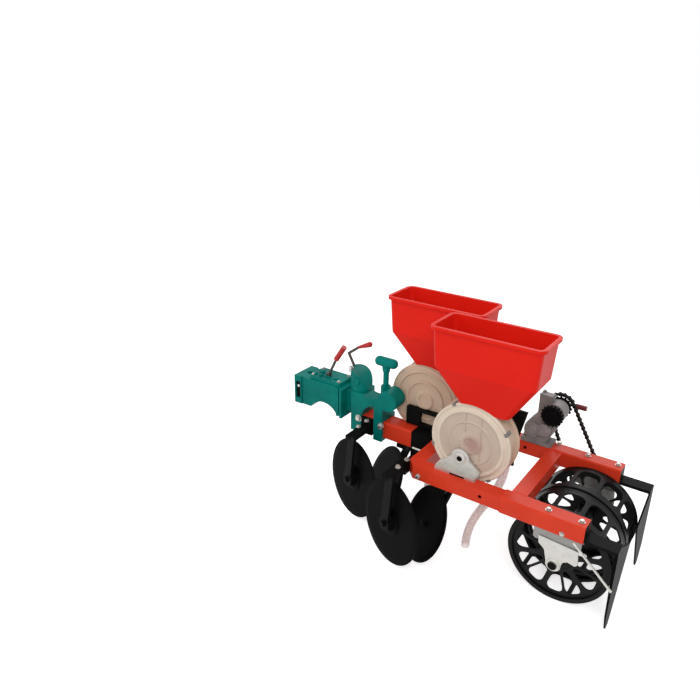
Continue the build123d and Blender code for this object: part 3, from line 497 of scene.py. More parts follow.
# %% Hexagon bolts
HEAD_RADIUS, CHAMFER_RADIUS, CHAMFER_HEIGHT = 0.5, 0.4, 0.06
bolt_recipe = Recipe("hexagon_bolt", ["Head height", "Washer height", "Washer width"])
bolt_washer = bolt_recipe.moved(
    bolt_recipe.round_bar(bolt_recipe.share("Washer width", 0.5), bolt_recipe.size("Washer height"), 20),
    bolt_recipe.vector(z=bolt_recipe.share("Washer height", 0.5)))
bolt_head = bolt_recipe.moved(
    bolt_recipe.round_bar(HEAD_RADIUS, bolt_recipe.size("Head height"), 6),
    bolt_recipe.vector(z=bolt_recipe.maths("ADD", bolt_recipe.size("Washer height"),
                                           bolt_recipe.share("Head height", 0.5))))
bolt_top = bolt_recipe.moved(
    bolt_recipe.add("GeometryNodeMeshCone", {
        "Vertices": 6, "Radius Bottom": HEAD_RADIUS, "Radius Top": CHAMFER_RADIUS, "Depth": CHAMFER_HEIGHT}),
    bolt_recipe.vector(z=bolt_recipe.maths("ADD", bolt_recipe.size("Washer height"),
                                           bolt_recipe.size("Head height"))))
bolt_turn = bolt_recipe.add("FunctionNodeAlignRotationToVector", {"Vector": bolt_recipe.attribute("facing")},
                            {"axis": "Z"})
bolt_recipe.end(bolt_recipe.add("GeometryNodeInstanceOnPoints", {
    "Points": bolt_recipe.source.outputs["Geometry"], "Rotation": bolt_turn,
    "Instance": bolt_recipe.joined(bolt_washer, bolt_head, bolt_top),
    "Scale": bolt_recipe.attribute("width", "FLOAT")}))
BOLT_SIZES = {"Head height": 0.36, "Washer height": 0.1, "Washer width": 1.3}
print("bolt recipe:", len(bolt_recipe.tree.nodes), "nodes")

# %% [markdown]
# A bolt is listed as the spot it stands on, the way it faces and the width of its head. Those in the
# hubs of the discs face along their disc's own leaning axis, which the joints give.

# %% Where the bolts sit
LEFT, RIGHT, UP, FRONT = (0, 1, 0), (0, -1, 0), (0, 0, 1), (1, 0, 0)
M6, M8, M10 = 9.0 * MM, 11.5 * MM, 16.0 * MM
HUB_LIFT = 2.2 * MM
HUB_SPOTS = (("left_row", 0.537, 0.938, 0.125), ("right_row", 0.524, 0.933, 0.12))

frame_bolts = [
    (spot("rear_arm_left", 0.45, 0.55, 1.0), UP, M8), (spot("rear_arm_left", 0.07, 0.55, 1.0), UP, M8),
    (spot("rear_arm_right", 0.45, 0.45, 1.0), UP, M8), (spot("rear_arm_right", 0.07, 0.45, 1.0), UP, M8),
    (spot("rear_arm_left", 0.24, 1.0, 0.2), LEFT, M6), (spot("rear_arm_right", 0.24, 0.0, 0.2), RIGHT, M6),
    (spot("meter_stand_left", 0.12, 0.55, 0.04), UP, M6),
    (spot("meter_stand_left", 0.88, 0.55, 0.04), UP, M6),
    (spot("front_beam_left", 0.9, 1.0, 0.3), LEFT, M8), (spot("front_beam_right", 0.9, 0.0, 0.3), RIGHT, M8),
    (spot("hitch_arm", 0.27, 1.0, 0.32), LEFT, M10), (spot("hitch_arm", 0.72, 1.0, 0.33), LEFT, M10),
    (spot("gearbox", 0.06, 0.5, 0.09), UP, M8), (spot("gearbox", 0.94, 0.5, 0.09), UP, M8),
]
head_bolts = [(spot("hitch_cover", share, across, 1.0), UP, M6)
              for share in (0.08, 0.92) for across in (0.12, 0.88)]
disc_axes = {joint["child"]: Vector(joint["axis"]) for joint in frame["record"]["behaviour"]["joints"]}
hub_bolts = []
for row, along, across, up in HUB_SPOTS:
    hub_bolts.append((spot(f"disc_arm_{row}", along, across, up), disc_axes[f"disc_{row}_left"], M10))
    rear_axis = disc_axes[f"disc_{row}_right"]
    hub_bolts.append((spot(f"disc_{row}_right", 0.5, 0.5, 0.5) + rear_axis * HUB_LIFT, rear_axis, M10))
    frame_bolts += [(spot(f"disc_arm_{row}", 0.35, across, 1.0), UP, M8) for across in (0.55, 0.2)]
for name, rows, slot, body in (("frame_bolts", frame_bolts, "bright_steel", "frame"),
                               ("hub_bolts", hub_bolts, "black_paint", "frame"),
                               ("hitch_bolts", head_bolts, "bright_steel", "hitch_head")):
    grow(name, bolt_recipe, seed_points(f"{name}_seeds", rows), slot, body, BOLT_SIZES)

# %% [markdown]
# The drive chain runs over two wheels: an arc around each of them, joined by two straight runs that
# touch both. Its path is worked out from the solids of the loop and of the two chain wheels.

# %% Path of the chain
LINK_COUNT, LINK_HEIGHT, ARC_STEPS = 62, 9.6 * MM, 24
chain_low, chain_high = boxes["drive_chain"]
drive_centre = spot("drive_sprocket", 0.5, 0.5, 0.5)
axle_centre = spot("axle_sprocket", 0.5, 0.5, 0.5)
chain_y = (chain_low.y + chain_high.y) / 2
drive_reach = chain_high.z - drive_centre.z - LINK_HEIGHT / 2
axle_reach = axle_centre.z - chain_low.z - LINK_HEIGHT / 2
run = Vector((drive_centre.x - axle_centre.x, drive_centre.z - axle_centre.z))
lean = math.asin((axle_reach - drive_reach) / run.length)
heading = math.atan2(run.y, run.x)
path = []
for centre, reach, first, last in (
        (drive_centre, drive_reach, heading + math.pi / 2 - lean, heading - math.pi / 2 + lean),
        (axle_centre, axle_reach, heading - math.pi / 2 + lean, heading - 3 * math.pi / 2 - lean)):
    for step in range(ARC_STEPS + 1):
        angle = first + (last - first) * step / ARC_STEPS
        path.append(Vector((centre.x + reach * math.cos(angle), chain_y, centre.z + reach * math.sin(angle))))
chain_path = bpy.data.meshes.new("chain_path")
chain_path.from_pydata(path, [(index, (index + 1) % len(path)) for index in range(len(path))], [])
loop_length = sum((path[index] - path[index - 1]).length for index in range(len(path)))
link_pitch = loop_length / LINK_COUNT
print("chain of", round(loop_length, 3), "m, pitch", round(link_pitch / MM, 2), "mm")

# %% [markdown]
# It is a roller chain: outer and inner plates take turns, and every joint has a roller on its pin.
# The recipe walks along the path, puts one link at each step and turns it to the path. It replaces
# the plain loop of the solid model and lies in the same place.

# %% Roller chain
SIDEWAYS = (math.pi / 2, 0.0, 0.0)
WAIST_SHARE, ROUND_SIDES = 0.62, 14
OUTER_SPREAD, INNER_SPREAD = 0.40, 0.27
chain_recipe = Recipe("roller_chain", ["Pitch", "Plate height", "Plate thickness", "Width", "Roller"])
joint_places = [chain_recipe.vector(x=chain_recipe.share("Pitch", half)) for half in (0.5, -0.5)]


def chain_plates(spread):
    waist = chain_recipe.add("GeometryNodeMeshCube", {"Size": chain_recipe.vector(
        chain_recipe.size("Pitch"), chain_recipe.size("Plate thickness"),
        chain_recipe.share("Plate height", WAIST_SHARE))})
    knob = chain_recipe.round_bar(chain_recipe.share("Plate height", 0.5),
                                  chain_recipe.size("Plate thickness"), ROUND_SIDES)
    plate = chain_recipe.joined(waist, *(chain_recipe.moved(knob, place, SIDEWAYS) for place in joint_places))
    roller = chain_recipe.round_bar(chain_recipe.share("Roller", 0.5),
                                    chain_recipe.share("Width", spread * 2), ROUND_SIDES)
    return chain_recipe.joined(
        *(chain_recipe.moved(plate, chain_recipe.vector(y=chain_recipe.share("Width", side)))
          for side in (spread, -spread)),
        chain_recipe.moved(roller, joint_places[0], SIDEWAYS))


walk = chain_recipe.add("GeometryNodeResampleCurve", {
    "Curve": chain_recipe.add("GeometryNodeMeshToCurve", {0: chain_recipe.source.outputs["Geometry"]}),
    "Count": LINK_COUNT})
odd = chain_recipe.maths("MODULO", chain_recipe.add("GeometryNodeInputIndex"), 2.0)
link_turn = chain_recipe.add("FunctionNodeAlignRotationToVector", {
    "Vector": chain_recipe.add("GeometryNodeInputTangent")}, {"axis": "X", "pivot_axis": "Y"})
chain_recipe.end(chain_recipe.joined(*(
    chain_recipe.add("GeometryNodeInstanceOnPoints", {
        "Points": walk, "Selection": flag, "Instance": chain_plates(spread), "Rotation": link_turn})
    for flag, spread in ((odd, OUTER_SPREAD), (chain_recipe.maths("SUBTRACT", 1.0, odd), INNER_SPREAD)))))
chain = grow("drive_chain_links", chain_recipe, chain_path, "chain_steel", "frame", {
    "Pitch": link_pitch, "Plate height": LINK_HEIGHT, "Plate thickness": 1.2 * MM,
    "Width": chain_high.y - chain_low.y, "Roller": 7.0 * MM})
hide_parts("drive_chain")

# %% [markdown]
# Made shapes end the same way each time: doubles are merged, normals point outwards, an optional wall
# and a rounded edge are given by modifiers and applied, and the piece is set on its body.

# %% Keep a made shape
SAME_PLACE = 0.02 * MM
SHARP_EDGE = math.radians(50)


def keep(name, form, slot, body, bevel=0.0, wall=0.0):
    bmesh.ops.remove_doubles(form, verts=form.verts, dist=SAME_PLACE)
    bmesh.ops.recalc_face_normals(form, faces=form.faces)
    mesh = bpy.data.meshes.new(name)
    form.to_mesh(mesh)
    form.free()
    mesh.materials.append(materials[slot])
    piece = bpy.data.objects.new(name, mesh)
    bpy.context.scene.collection.objects.link(piece)
    if wall:
        shell = piece.modifiers.new("wall", "SOLIDIFY")
        shell.thickness = wall
        shell.offset = 0.0
    if bevel:
        edge = piece.modifiers.new("edges", "BEVEL")
        edge.width = bevel
        edge.segments = 2
        edge.limit_method = "ANGLE"
        edge.angle_limit = SHARP_EDGE
    if wall or bevel:
        piece.data = bpy.data.meshes.new_from_object(
            piece.evaluated_get(bpy.context.evaluated_depsgraph_get()))
        piece.modifiers.clear()
    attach(piece, body)
    print(name, "made:", len(piece.data.polygons), "faces")
    return piece


print("points merge within", SAME_PLACE, "m")

# %% [markdown]
# Covers, bushes, hubs and rims are turned parts. Each is a profile of radius and height pairs that is
# spun about an axis, so one function serves them all. A second one keeps a part that is turned whole.

# %% Spun profiles
def spin(form, centre, axis, profile, steps, closed=False):
    turn = Vector((0, 0, 1)).rotation_difference(Vector(axis)).to_matrix()
    rings = []
    for radius, height in profile:
        angles = [2 * math.pi * step / steps for step in range(steps if radius > 0 else 1)]
        rings.append([form.verts.new(Vector(centre) + turn @ Vector(
            (radius * math.cos(angle), radius * math.sin(angle), height)) * MM) for angle in angles])
    pairs = list(zip(rings, rings[1:]))
    if closed:
        pairs.append((rings[-1], rings[0]))
    for first, second in pairs:
        for step in range(steps):
            corners = [first[step % len(first)], first[(step + 1) % len(first)],
                       second[(step + 1) % len(second)], second[step % len(second)]]
            corners = list(dict.fromkeys(corners))
            if len(corners) > 2:
                form.faces.new(corners)


def turned(name, centre, axis, profile, steps, slot, body, bevel=0.0, closed=False):
    form = bmesh.new()
    spin(form, centre, axis, profile, steps, closed)
    return keep(name, form, slot, body, bevel)


print("profiles can be spun")

# %% [markdown]
# Plates are outlines in the upright plane given a thickness across the machine. The two ends and the
# wall between them are one function, which the clips use as well, and an oblong outline another.

# %% Slabs
def bridge(form, near, far):
    form.faces.new(near)
    form.faces.new(far[::-1])
    for index in range(len(near)):
        following = (index + 1) % len(near)
        form.faces.new((near[index], far[index], far[following], near[following]))


def slab(form, outline, front, back):
    bridge(form, *([form.verts.new((x, depth, z)) for x, z in outline] for depth in (front, back)))


def oblong(rear, front, low, high):
    return [(rear, low), (front, low), (front, high), (rear, high)]


print("a slab's outline:", oblong(0, 1, 0, 1))

# %% [markdown]
# The press wheels are open cages: a rim band with rounded windows, and an outer web whose windows
# stand in pairs between thick and thin spokes. A window is easiest as a flat cell with a hole, made
# from two rings of points, and cells laid side by side are then rolled up into a band or a disc.

# %% A cell with a rounded window
CELL_STEPS, HALVINGS, TINY = 9, 24, 1e-9


def window_cell(length, width, hole_length, hole_width, roundness):
    corner = min(hole_length, hole_width) / 2 * roundness
    diagonal = math.atan2(width, length)
    stops = [-diagonal, diagonal, math.pi - diagonal, math.pi + diagonal, 2 * math.pi - diagonal]
    outer, inner = [], []
    for first, last in zip(stops, stops[1:]):
        for step in range(CELL_STEPS):
            ray = first + (last - first) * step / CELL_STEPS
            along, across = math.cos(ray), math.sin(ray)
            far = min(length / 2 / max(abs(along), TINY), width / 2 / max(abs(across), TINY))
            outer.append((along * far, across * far))
            near, beyond = 0.0, far
            for _ in range(HALVINGS):
                reach = (near + beyond) / 2
                over_x = max(abs(along) * reach - (hole_length / 2 - corner), 0.0)
                over_y = max(abs(across) * reach - (hole_width / 2 - corner), 0.0)
                near, beyond = (reach, beyond) if math.hypot(over_x, over_y) < corner else (near, reach)
            inner.append((along * near, across * near))
    return outer, inner


def add_cell(form, cell, place_outer, place_inner):
    outer = [form.verts.new(place_outer(x, y)) for x, y in cell[0]]
    inner = [form.verts.new(place_inner(x, y)) for x, y in cell[1]]
    for index in range(len(outer)):
        following = (index + 1) % len(outer)
        form.faces.new((outer[index], outer[following], inner[following], inner[index]))


print("cells can be cut and laid")

# %% [markdown]
# The cage of a wheel is one sheet of such cells: twelve rolled into the tread and twelve fanned out
# into the web, where every second window is shifted so that thick and thin spokes take turns. The
# sheet then gets its wall. It replaces the plain wheel of the solid model.

# %% Press wheel cages
TREAD_WINDOWS, TREAD_BAR, TREAD_SHOULDER, TREAD_WALL, TREAD_ROUNDNESS = 12, 11.0, 20.0, 4.0, 0.6
WEB_PAIRS, WEB_BAR, WEB_PAIR_SHIFT, WEB_ROUNDNESS = 6, 9.5, 1.8, 0.62
WEB_BORE, WEB_WINDOW_LOW, WEB_WINDOW_HIGH, WEB_INSET = 24.0, 43.0, 104.0, 8.0
SECTOR_LENGTH, SECTOR_HOLE, SECTOR_EDGE = 60.0, 56.0, 0.01
CAGE_BEVEL = 0.7 * MM
wheel_centre = spot("wheel_axle", 0.5, 0.5, 0.5)


def wheel_sizes(side, outward):
    low, high = boxes[f"press_wheel_{side}"]
    centre = Vector((wheel_centre.x, (low.y + high.y) / 2, wheel_centre.z))
    radius = (high.x - low.x) / 2 / MM
    edge = (high.y - low.y) / 2 / MM
    return centre, radius, edge, outward * (edge - WEB_INSET)


def wheel_cage(side, outward):
    centre, radius, edge, face = wheel_sizes(side, outward)
    band = radius - TREAD_WALL / 2 - 0.5

    def on_wheel(reach, angle, across):
        return centre + Vector((reach * math.cos(angle), across, reach * math.sin(angle))) * MM

    cage = bmesh.new()
    pitch = 2 * math.pi / TREAD_WINDOWS
    tread = window_cell(pitch * band, 2 * edge - 2, pitch * band - TREAD_BAR, 2 * (edge - TREAD_SHOULDER),
                        TREAD_ROUNDNESS)
    for index in range(TREAD_WINDOWS):
        def roll(x, y):
            return on_wheel(band, index * pitch + x / band, y)
        add_cell(cage, tread, roll, roll)
    span = math.pi / WEB_PAIRS
    middle = (WEB_WINDOW_LOW + WEB_WINDOW_HIGH) / 2
    window = WEB_WINDOW_HIGH - WEB_WINDOW_LOW
    web = window_cell(SECTOR_LENGTH, window, SECTOR_HOLE, window - SECTOR_EDGE, WEB_ROUNDNESS)
    for index in range(2 * WEB_PAIRS):
        shift = WEB_PAIR_SHIFT if index % 2 == 0 else -WEB_PAIR_SHIFT

        def sector(x, y):
            reach = (WEB_BORE + band) / 2 + y / window * (band - WEB_BORE)
            return on_wheel(reach, (index + x / SECTOR_LENGTH) * span, face)

        def opening(x, y):
            reach = middle + y
            half = span * reach / 2 - WEB_BAR / 2
            return on_wheel(reach, index * span + (x / (SECTOR_HOLE / 2) * half + shift) / reach, face)
        add_cell(cage, web, sector, opening)
    made = keep(f"press_wheel_{side}_cage", cage, "wheel_black", "press_wheels", CAGE_BEVEL, TREAD_WALL * MM)
    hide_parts(f"press_wheel_{side}")


print("wheel centre at", tuple(wheel_centre))

# %% [markdown]
# Both edges of the tread end in a thick rim. The hub runs through the wheel, and a low ring stands on
# the web around it. They are turned parts: a rim's profile is given as insets from the edge of the
# wheel, the hub's and the ring's as heights over the web.

# %% Press wheel rims and hubs
RIM_PROFILE = [(0, 6), (0, 1), (1, 0), (10, 0), (11, 1.5), (11, 6)]
HUB_PROFILE, HUB_INSET = [(10.3, 5), (20, 5), (22, 3), (24, -2)], 12
WEB_RING = [(34, 2), (38, 3.4), (41, 2), (41, 0), (34, 0)]


def wheel_rims(side, outward):
    centre, radius, edge, face = wheel_sizes(side, outward)
    rims = bmesh.new()
    for rim in (-1, 1):
        spin(rims, centre, LEFT, [(radius - inset, rim * (edge - setback)) for inset, setback in RIM_PROFILE],
             steps=96, closed=True)
    hub = [(reach, face + outward * height) for reach, height in HUB_PROFILE]
    hub += [(reach, -outward * (edge - HUB_INSET)) for reach in (HUB_PROFILE[-1][0], HUB_PROFILE[0][0])]
    spin(rims, centre, LEFT, hub, steps=48, closed=True)
    spin(rims, centre, LEFT, [(reach, face + outward * height) for reach, height in WEB_RING],
         steps=64, closed=True)
    keep(f"press_wheel_{side}_rims", rims, "wheel_black", "press_wheels")


SIDES = (("left", 1), ("right", -1))
for side, outward in SIDES:
    wheel_cage(side, outward)
    wheel_rims(side, outward)

# %% [markdown]
# A bearing bracket hangs the wheel axle under each arm: a folded plate behind, and in front of it a
# lug plate cut to a curve, with a pressed ring about the bore. Both are outlines given a thickness.
# The folded plate, under the arm, takes a darker copy of the zinc: painted shade.

# %% Bearing brackets
FOLD_FRONT, FOLD_REAR, FOLD_FLANGE = [(0, 40), (6, 44)], [(5, 34), (0, 30)], 3
PLATE_HALF, LUG_NEAR, LUG_FAR = 1.5, 1.6, 5
PRESSED_RING = [(10.5, -4.5), (10.5, 8.5), (13, 8.5), (15.5, 7), (16.5, 4.8), (16.5, -4.5)]
LUG_RADIUS, PLATE_BEVEL = 18.0, 0.6 * MM
LUG_FRONT = [(20, 13), (25, 33), (40, 46), (42, 66)]
LUG_REAR = [(-52, 60), (-55, 25), (-49, 18), (-31, 22), (-21, 15)]
lug_arc = [(LUG_RADIUS * math.cos(math.radians(angle)), LUG_RADIUS * math.sin(math.radians(angle)))
           for angle in range(170, 371, 10)]
# a darker copy of the zinc plate, painted shade for the folded plate under the arm
shaded_zinc = plated("shaded_zinc_plate", (0.24, 0.235, 0.225), (0.36, 0.35, 0.335))


def bearing_bracket(side, outward):
    low, high = boxes[f"bearing_bracket_{side}"]
    middle_y = (low.y + high.y) / 2
    rear, front, top = low.x, high.x, high.z
    outline = [(rear, top), (front, top)]
    outline += [(front - back * MM, top - drop * MM) for back, drop in FOLD_FRONT]
    outline += [(rear + forward * MM, top - drop * MM) for forward, drop in FOLD_REAR]
    fold = bmesh.new()
    slab(fold, outline, middle_y - PLATE_HALF * MM, middle_y + PLATE_HALF * MM)
    slab(fold, oblong(rear, front, top, top - FOLD_FLANGE * MM), low.y, high.y)
    folded = keep(f"bearing_bracket_{side}_fold", fold, "galvanised", "frame", PLATE_BEVEL)
    # the fold takes the darker zinc: painted shade under the arm
    folded.data.materials[0] = shaded_zinc
    lug = bmesh.new()
    slab(lug, [(wheel_centre.x + x * MM, wheel_centre.z + z * MM) for x, z in lug_arc + LUG_FRONT + LUG_REAR],
         middle_y + outward * LUG_NEAR * MM, middle_y + outward * LUG_FAR * MM)
    spin(lug, (wheel_centre.x, middle_y, wheel_centre.z), (0, outward, 0), PRESSED_RING,
         steps=48, closed=True)
    plates = keep(f"bearing_bracket_{side}_plates", lug, "galvanised", "frame", PLATE_BEVEL)
    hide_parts(f"bearing_bracket_{side}")


for side, outward in SIDES:
    bearing_bracket(side, outward)

# %% [markdown]
# The end of the axle shows in the bracket's ring as a dark bore. It is a small black turned cap, painted
# shade for the inside of the bore, that rides with the wheels.

# %% Painted shade in the axle bore
BORE_SHADE_PROFILE = [(0, -0.4), (10.2, -0.4), (10.2, 0.9), (8.6, 0.9), (7.8, 0.4), (0, 0.3)]
# a black cap of painted shade in the bore
turned("axle_bore_shade", (wheel_centre.x, boxes["wheel_axle"][1].y, wheel_centre.z), LEFT, BORE_SHADE_PROFILE, 32,
       "black_paint", "press_wheels")

# %% [markdown]
# The seed meters have pressed covers: a rolled lip, a groove, a raised ring and a flat middle with
# two upright ribs. The cover is one spun profile with the ribs set on it, in place of the plain one.

# %% Near meter cover
COVER_RADIUS = 106.0
COVER_PROFILE = [(0, 0), (COVER_RADIUS, 0), (COVER_RADIUS, 3.0), (104.5, 5.2), (101, 5.8), (98.5, 4.6),
                 (97, 3.2), (92.5, 3.2), (91, 4.4), (89.5, 7.2), (86, 7.9), (82.5, 7.2), (81, 4.6),
                 (79, 4.0), (60, 4.0), (58.5, 5.4), (55, 5.9), (53.5, 4.8), (52, 4.0), (31, 4.0),
                 (29, 6.6), (24, 7.6), (15, 7.6), (13, 5.6), (0, 5.2)]
RIB_OFFSETS, RIB_HALF, RIB_REACH = (-26.0, 16.0), 1.5 * MM, 78.0
RIB_NEAR, RIB_FAR, COVER_BEVEL = 3.5 * MM, 6.0 * MM, 0.4 * MM

cover_low, cover_high = boxes["meter_cover_left"]
cover_centre = Vector(((cover_low.x + cover_high.x) / 2, cover_low.y, (cover_low.z + cover_high.z) / 2))
cover_form = bmesh.new()
spin(cover_form, cover_centre, LEFT, COVER_PROFILE, steps=128)
for offset in RIB_OFFSETS:
    reach = math.sqrt(RIB_REACH ** 2 - offset ** 2) * MM
    rib_x = cover_centre.x + offset * MM
    rib = oblong(rib_x - RIB_HALF, rib_x + RIB_HALF, cover_centre.z - reach, cover_centre.z + reach)
    slab(cover_form, rib, cover_centre.y + RIB_NEAR, cover_centre.y + RIB_FAR)
near_cover = keep("meter_cover_left_rings", cover_form, "meter_cream", "frame", COVER_BEVEL)
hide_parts("meter_cover_left")
near_cover.data.materials[0] = meter_window("meter_window", cover_centre)

# %% [markdown]
# The far cover keeps its solid and only gets its rings. It is cut off flat below, so the rings are
# cut at the same height and the cuts are closed.

# %% Far meter cover
FAR_RINGS = ((82, 90, 2.4), (52, 58, 1.4), (15, 26, 2.6))
RING_FOOT, RING_SHOULDER, RING_ROUND = -4, 0.6, 2
CUT_LIFT = 1.0 * MM
far_low, far_high = boxes["meter_cover_right"]
far_centre = Vector(((far_low.x + far_high.x) / 2, far_high.y, far_high.z - COVER_RADIUS * MM))
far_rings = bmesh.new()
for inner, outer, height in FAR_RINGS:
    spin(far_rings, far_centre, LEFT, [
        (inner, RING_FOOT), (inner, height * RING_SHOULDER), (inner + RING_ROUND, height),
        (outer - RING_ROUND, height), (outer, height * RING_SHOULDER), (outer, RING_FOOT)],
        steps=96, closed=True)
bmesh.ops.bisect_plane(far_rings, geom=far_rings.verts[:] + far_rings.edges[:] + far_rings.faces[:],
                       plane_co=(0, 0, far_low.z + CUT_LIFT), plane_no=(0, 0, -1), clear_outer=True)
bmesh.ops.holes_fill(far_rings, edges=[edge for edge in far_rings.edges if edge.is_boundary])
keep("meter_cover_right_rings", far_rings, "meter_cream", "frame")

# %% [markdown]
# The stand's lobe carries a bush with a dark bore, and its plate has a slot near the foot. The bore
# and the slot are thin black shapes laid into the plate, since neither can be seen through, and their
# black is painted shade for the dark inside of each.

# %% Stand bush, and painted shade in its bore and slot
BUSH_PROFILE = [(7.6, -0.5), (7.6, 2.2), (11, 2.6), (14, 1.6), (15, 0.0), (15, -0.5)]
BUSH_BORE_SHADE = [(0, -1.2), (7.7, -1.2), (7.7, 0.6), (5.5, 0.6), (4.5, 0.0), (0, 0.0)]
SLOT_LENGTH, SLOT_HEIGHT, SLOT_HALF = 40 * MM, 4.2 * MM, 0.3 * MM
bush_place = spot("meter_stand_left", 0.491, 0.0, 0.613, (0, 9, 0))
turned("stand_bush", bush_place, LEFT, BUSH_PROFILE, 40, "galvanised", "frame", closed=True)
# black shapes of painted shade in the bush's bore and in the slot
dark = bmesh.new()
spin(dark, bush_place, LEFT, BUSH_BORE_SHADE, steps=40)
slot_place = spot("meter_stand_left", 0.25, 1.0, 0.0, (0, 0.1, 0.6))
slab(dark, oblong(slot_place.x, slot_place.x + SLOT_LENGTH, slot_place.z, slot_place.z + SLOT_HEIGHT),
     slot_place.y - SLOT_HALF, slot_place.y + SLOT_HALF)
keep("stand_bore_and_slot_shade", dark, "black_paint", "frame")

# %% [markdown]
# Four clips around the rim hold the near cover to its drum. Each is a folded strip: its section is
# drawn in the plane of the rim's radius and given a width along the rim.

# %% Cover clips
CLIP_ANGLES, CLIP_HALF = (-18, 62, 150, 236), 5
CLIP_SECTION = [(100, 7.0), (107.2, 7.0), (107.2, -16.0), (105.8, -16.0), (105.8, 5.6), (100, 5.6)]
clips = bmesh.new()
for angle in CLIP_ANGLES:
    away = Vector((math.cos(math.radians(angle)), 0, math.sin(math.radians(angle))))
    aside = Vector((-away.z, 0, away.x))
    bridge(clips, *([
        clips.verts.new(cover_centre + (away * reach + Vector((0, across, 0)) + aside * half) * MM)
        for reach, across in CLIP_SECTION] for half in (-CLIP_HALF, CLIP_HALF)))
keep("cover_clips", clips, "cast_grey", "frame", COVER_BEVEL)

# %% [markdown]
# The meter drive leaves the gearbox through a black toothed drum on the near side and the chain
# wheel on the far side. Its teeth are grown around a circle of seed points that face outwards.

# %% Toothed drum
DRUM_PROFILE = [(0, -8), (8, -8), (8, 0.8), (25, 0.8), (27, 2.5), (27, 11), (25, 12.5), (14, 12.5),
                (12, 15.5), (0, 15.5)]
TEETH, TOOTH_CIRCLE, TOOTH_ROWS, TOOTH_TIP = 18, 26, (4.5, 9.0), 0.0012
drive_place = Vector((drive_centre.x, boxes["gearbox"][1].y, drive_centre.z))
turned("drive_drum", drive_place, LEFT, DRUM_PROFILE, 48, "black_paint", "meter_drive")
tooth_recipe = Recipe("tooth", ["Tooth length", "Tooth width"])
tooth_block = tooth_recipe.add("GeometryNodeMeshCone", {
    "Vertices": 4, "Radius Bottom": tooth_recipe.size("Tooth width"), "Radius Top": TOOTH_TIP,
    "Depth": tooth_recipe.size("Tooth length")})
tooth_recipe.end(tooth_recipe.add("GeometryNodeInstanceOnPoints", {
    "Points": tooth_recipe.source.outputs["Geometry"], "Instance": tooth_block,
    "Rotation": tooth_recipe.add("FunctionNodeAlignRotationToVector", {
        "Vector": tooth_recipe.attribute("facing")}, {"axis": "Z"})}))
teeth = []
for index in range(TEETH):
    angle = 2 * math.pi * index / TEETH
    facing = (math.cos(angle), 0.0, math.sin(angle))
    for across in TOOTH_ROWS:
        place = drive_place + Vector((facing[0] * TOOTH_CIRCLE, across, facing[2] * TOOTH_CIRCLE)) * MM
        teeth.append((place, facing, 1.0))
grow("drive_drum_teeth", tooth_recipe, seed_points("tooth_seeds", teeth), "black_paint", "meter_drive",
     {"Tooth length": 4.5 * MM, "Tooth width": 3.2 * MM})

# %% [markdown]
# Two round caps close the gearbox on the near side. Each is held by four small bolts on a circle, and
# two larger ones stand on top of the casting.

# %% Gearbox caps
CAPS = ((0.70, 0.30, 21, 7), (0.42, 0.36, 18, 9))
CAP_PROFILE = [(0, -1), (1.0, -1), (1.0, 0.55), (0.86, 0.72), (0.6, 0.72), (0.5, 1.0), (0, 1.0)]
CAP_BOLTS, CAP_CIRCLE, CAP_LIFT, CAP_BOLT = 4, 0.84, 5, 5.0 * MM
caps = bmesh.new()
cap_bolts = []
for along, up, radius, height in CAPS:
    spin(caps, spot("gearbox", along, 1.0, up), LEFT,
         [(share * radius, level * height) for share, level in CAP_PROFILE], steps=40)
    for step in range(CAP_BOLTS):
        angle = math.pi / 4 + 2 * math.pi * step / CAP_BOLTS
        lift = (math.cos(angle) * radius * CAP_CIRCLE, CAP_LIFT, math.sin(angle) * radius * CAP_CIRCLE)
        cap_bolts.append((spot("gearbox", along, 1.0, up, lift), LEFT, CAP_BOLT))
cap_bolts += [(spot("gearbox", 0.62, across, 1.0), UP, M6) for across in (0.25, 0.75)]
keep("gearbox_caps", caps, "cast_grey", "frame")
grow("gearbox_bolts", bolt_recipe, seed_points("cap_bolt_seeds", cap_bolts), "cast_grey", "frame", BOLT_SIZES)

# %% [markdown]
# A threaded stud points forward from the front cross tube. On the hitch a boss closes the cowl's side,
# and a hexagon stub of bright steel stands at the root of the locking lever.

# %% Stud, boss and stub
STUD_PROFILE = [(0, -1), (6.5, -1), (6.5, 4.5), (2.8, 5), (2.8, 36), (2, 37), (0, 37)]
BOSS_PROFILE = [(0, -1), (11, -1), (11, 2), (9.5, 3.5), (5, 3.5), (4, 2.5), (0, 2.5)]
STUB_PROFILE = [(0, -6), (7.5, -6), (7.5, 8), (6, 10), (0, 10)]
BOSS_BEVEL, STUB_BEVEL = 0.3 * MM, 0.6 * MM
turned("cross_stud", spot("front_cross", 1.0, 0.762, 0.6), FRONT, STUD_PROFILE, 12, "bright_steel", "frame")
turned("cowl_boss", spot("hitch_cowl", 0.42, 1.0, 0.52), LEFT, BOSS_PROFILE, 40, "hitch_paint", "frame",
       BOSS_BEVEL)
turned("lever_stub", spot("hitch_cowl", 0.86, 0.8, 0.93), UP, STUB_PROFILE, 6, "bright_steel", "frame",
       STUB_BEVEL)
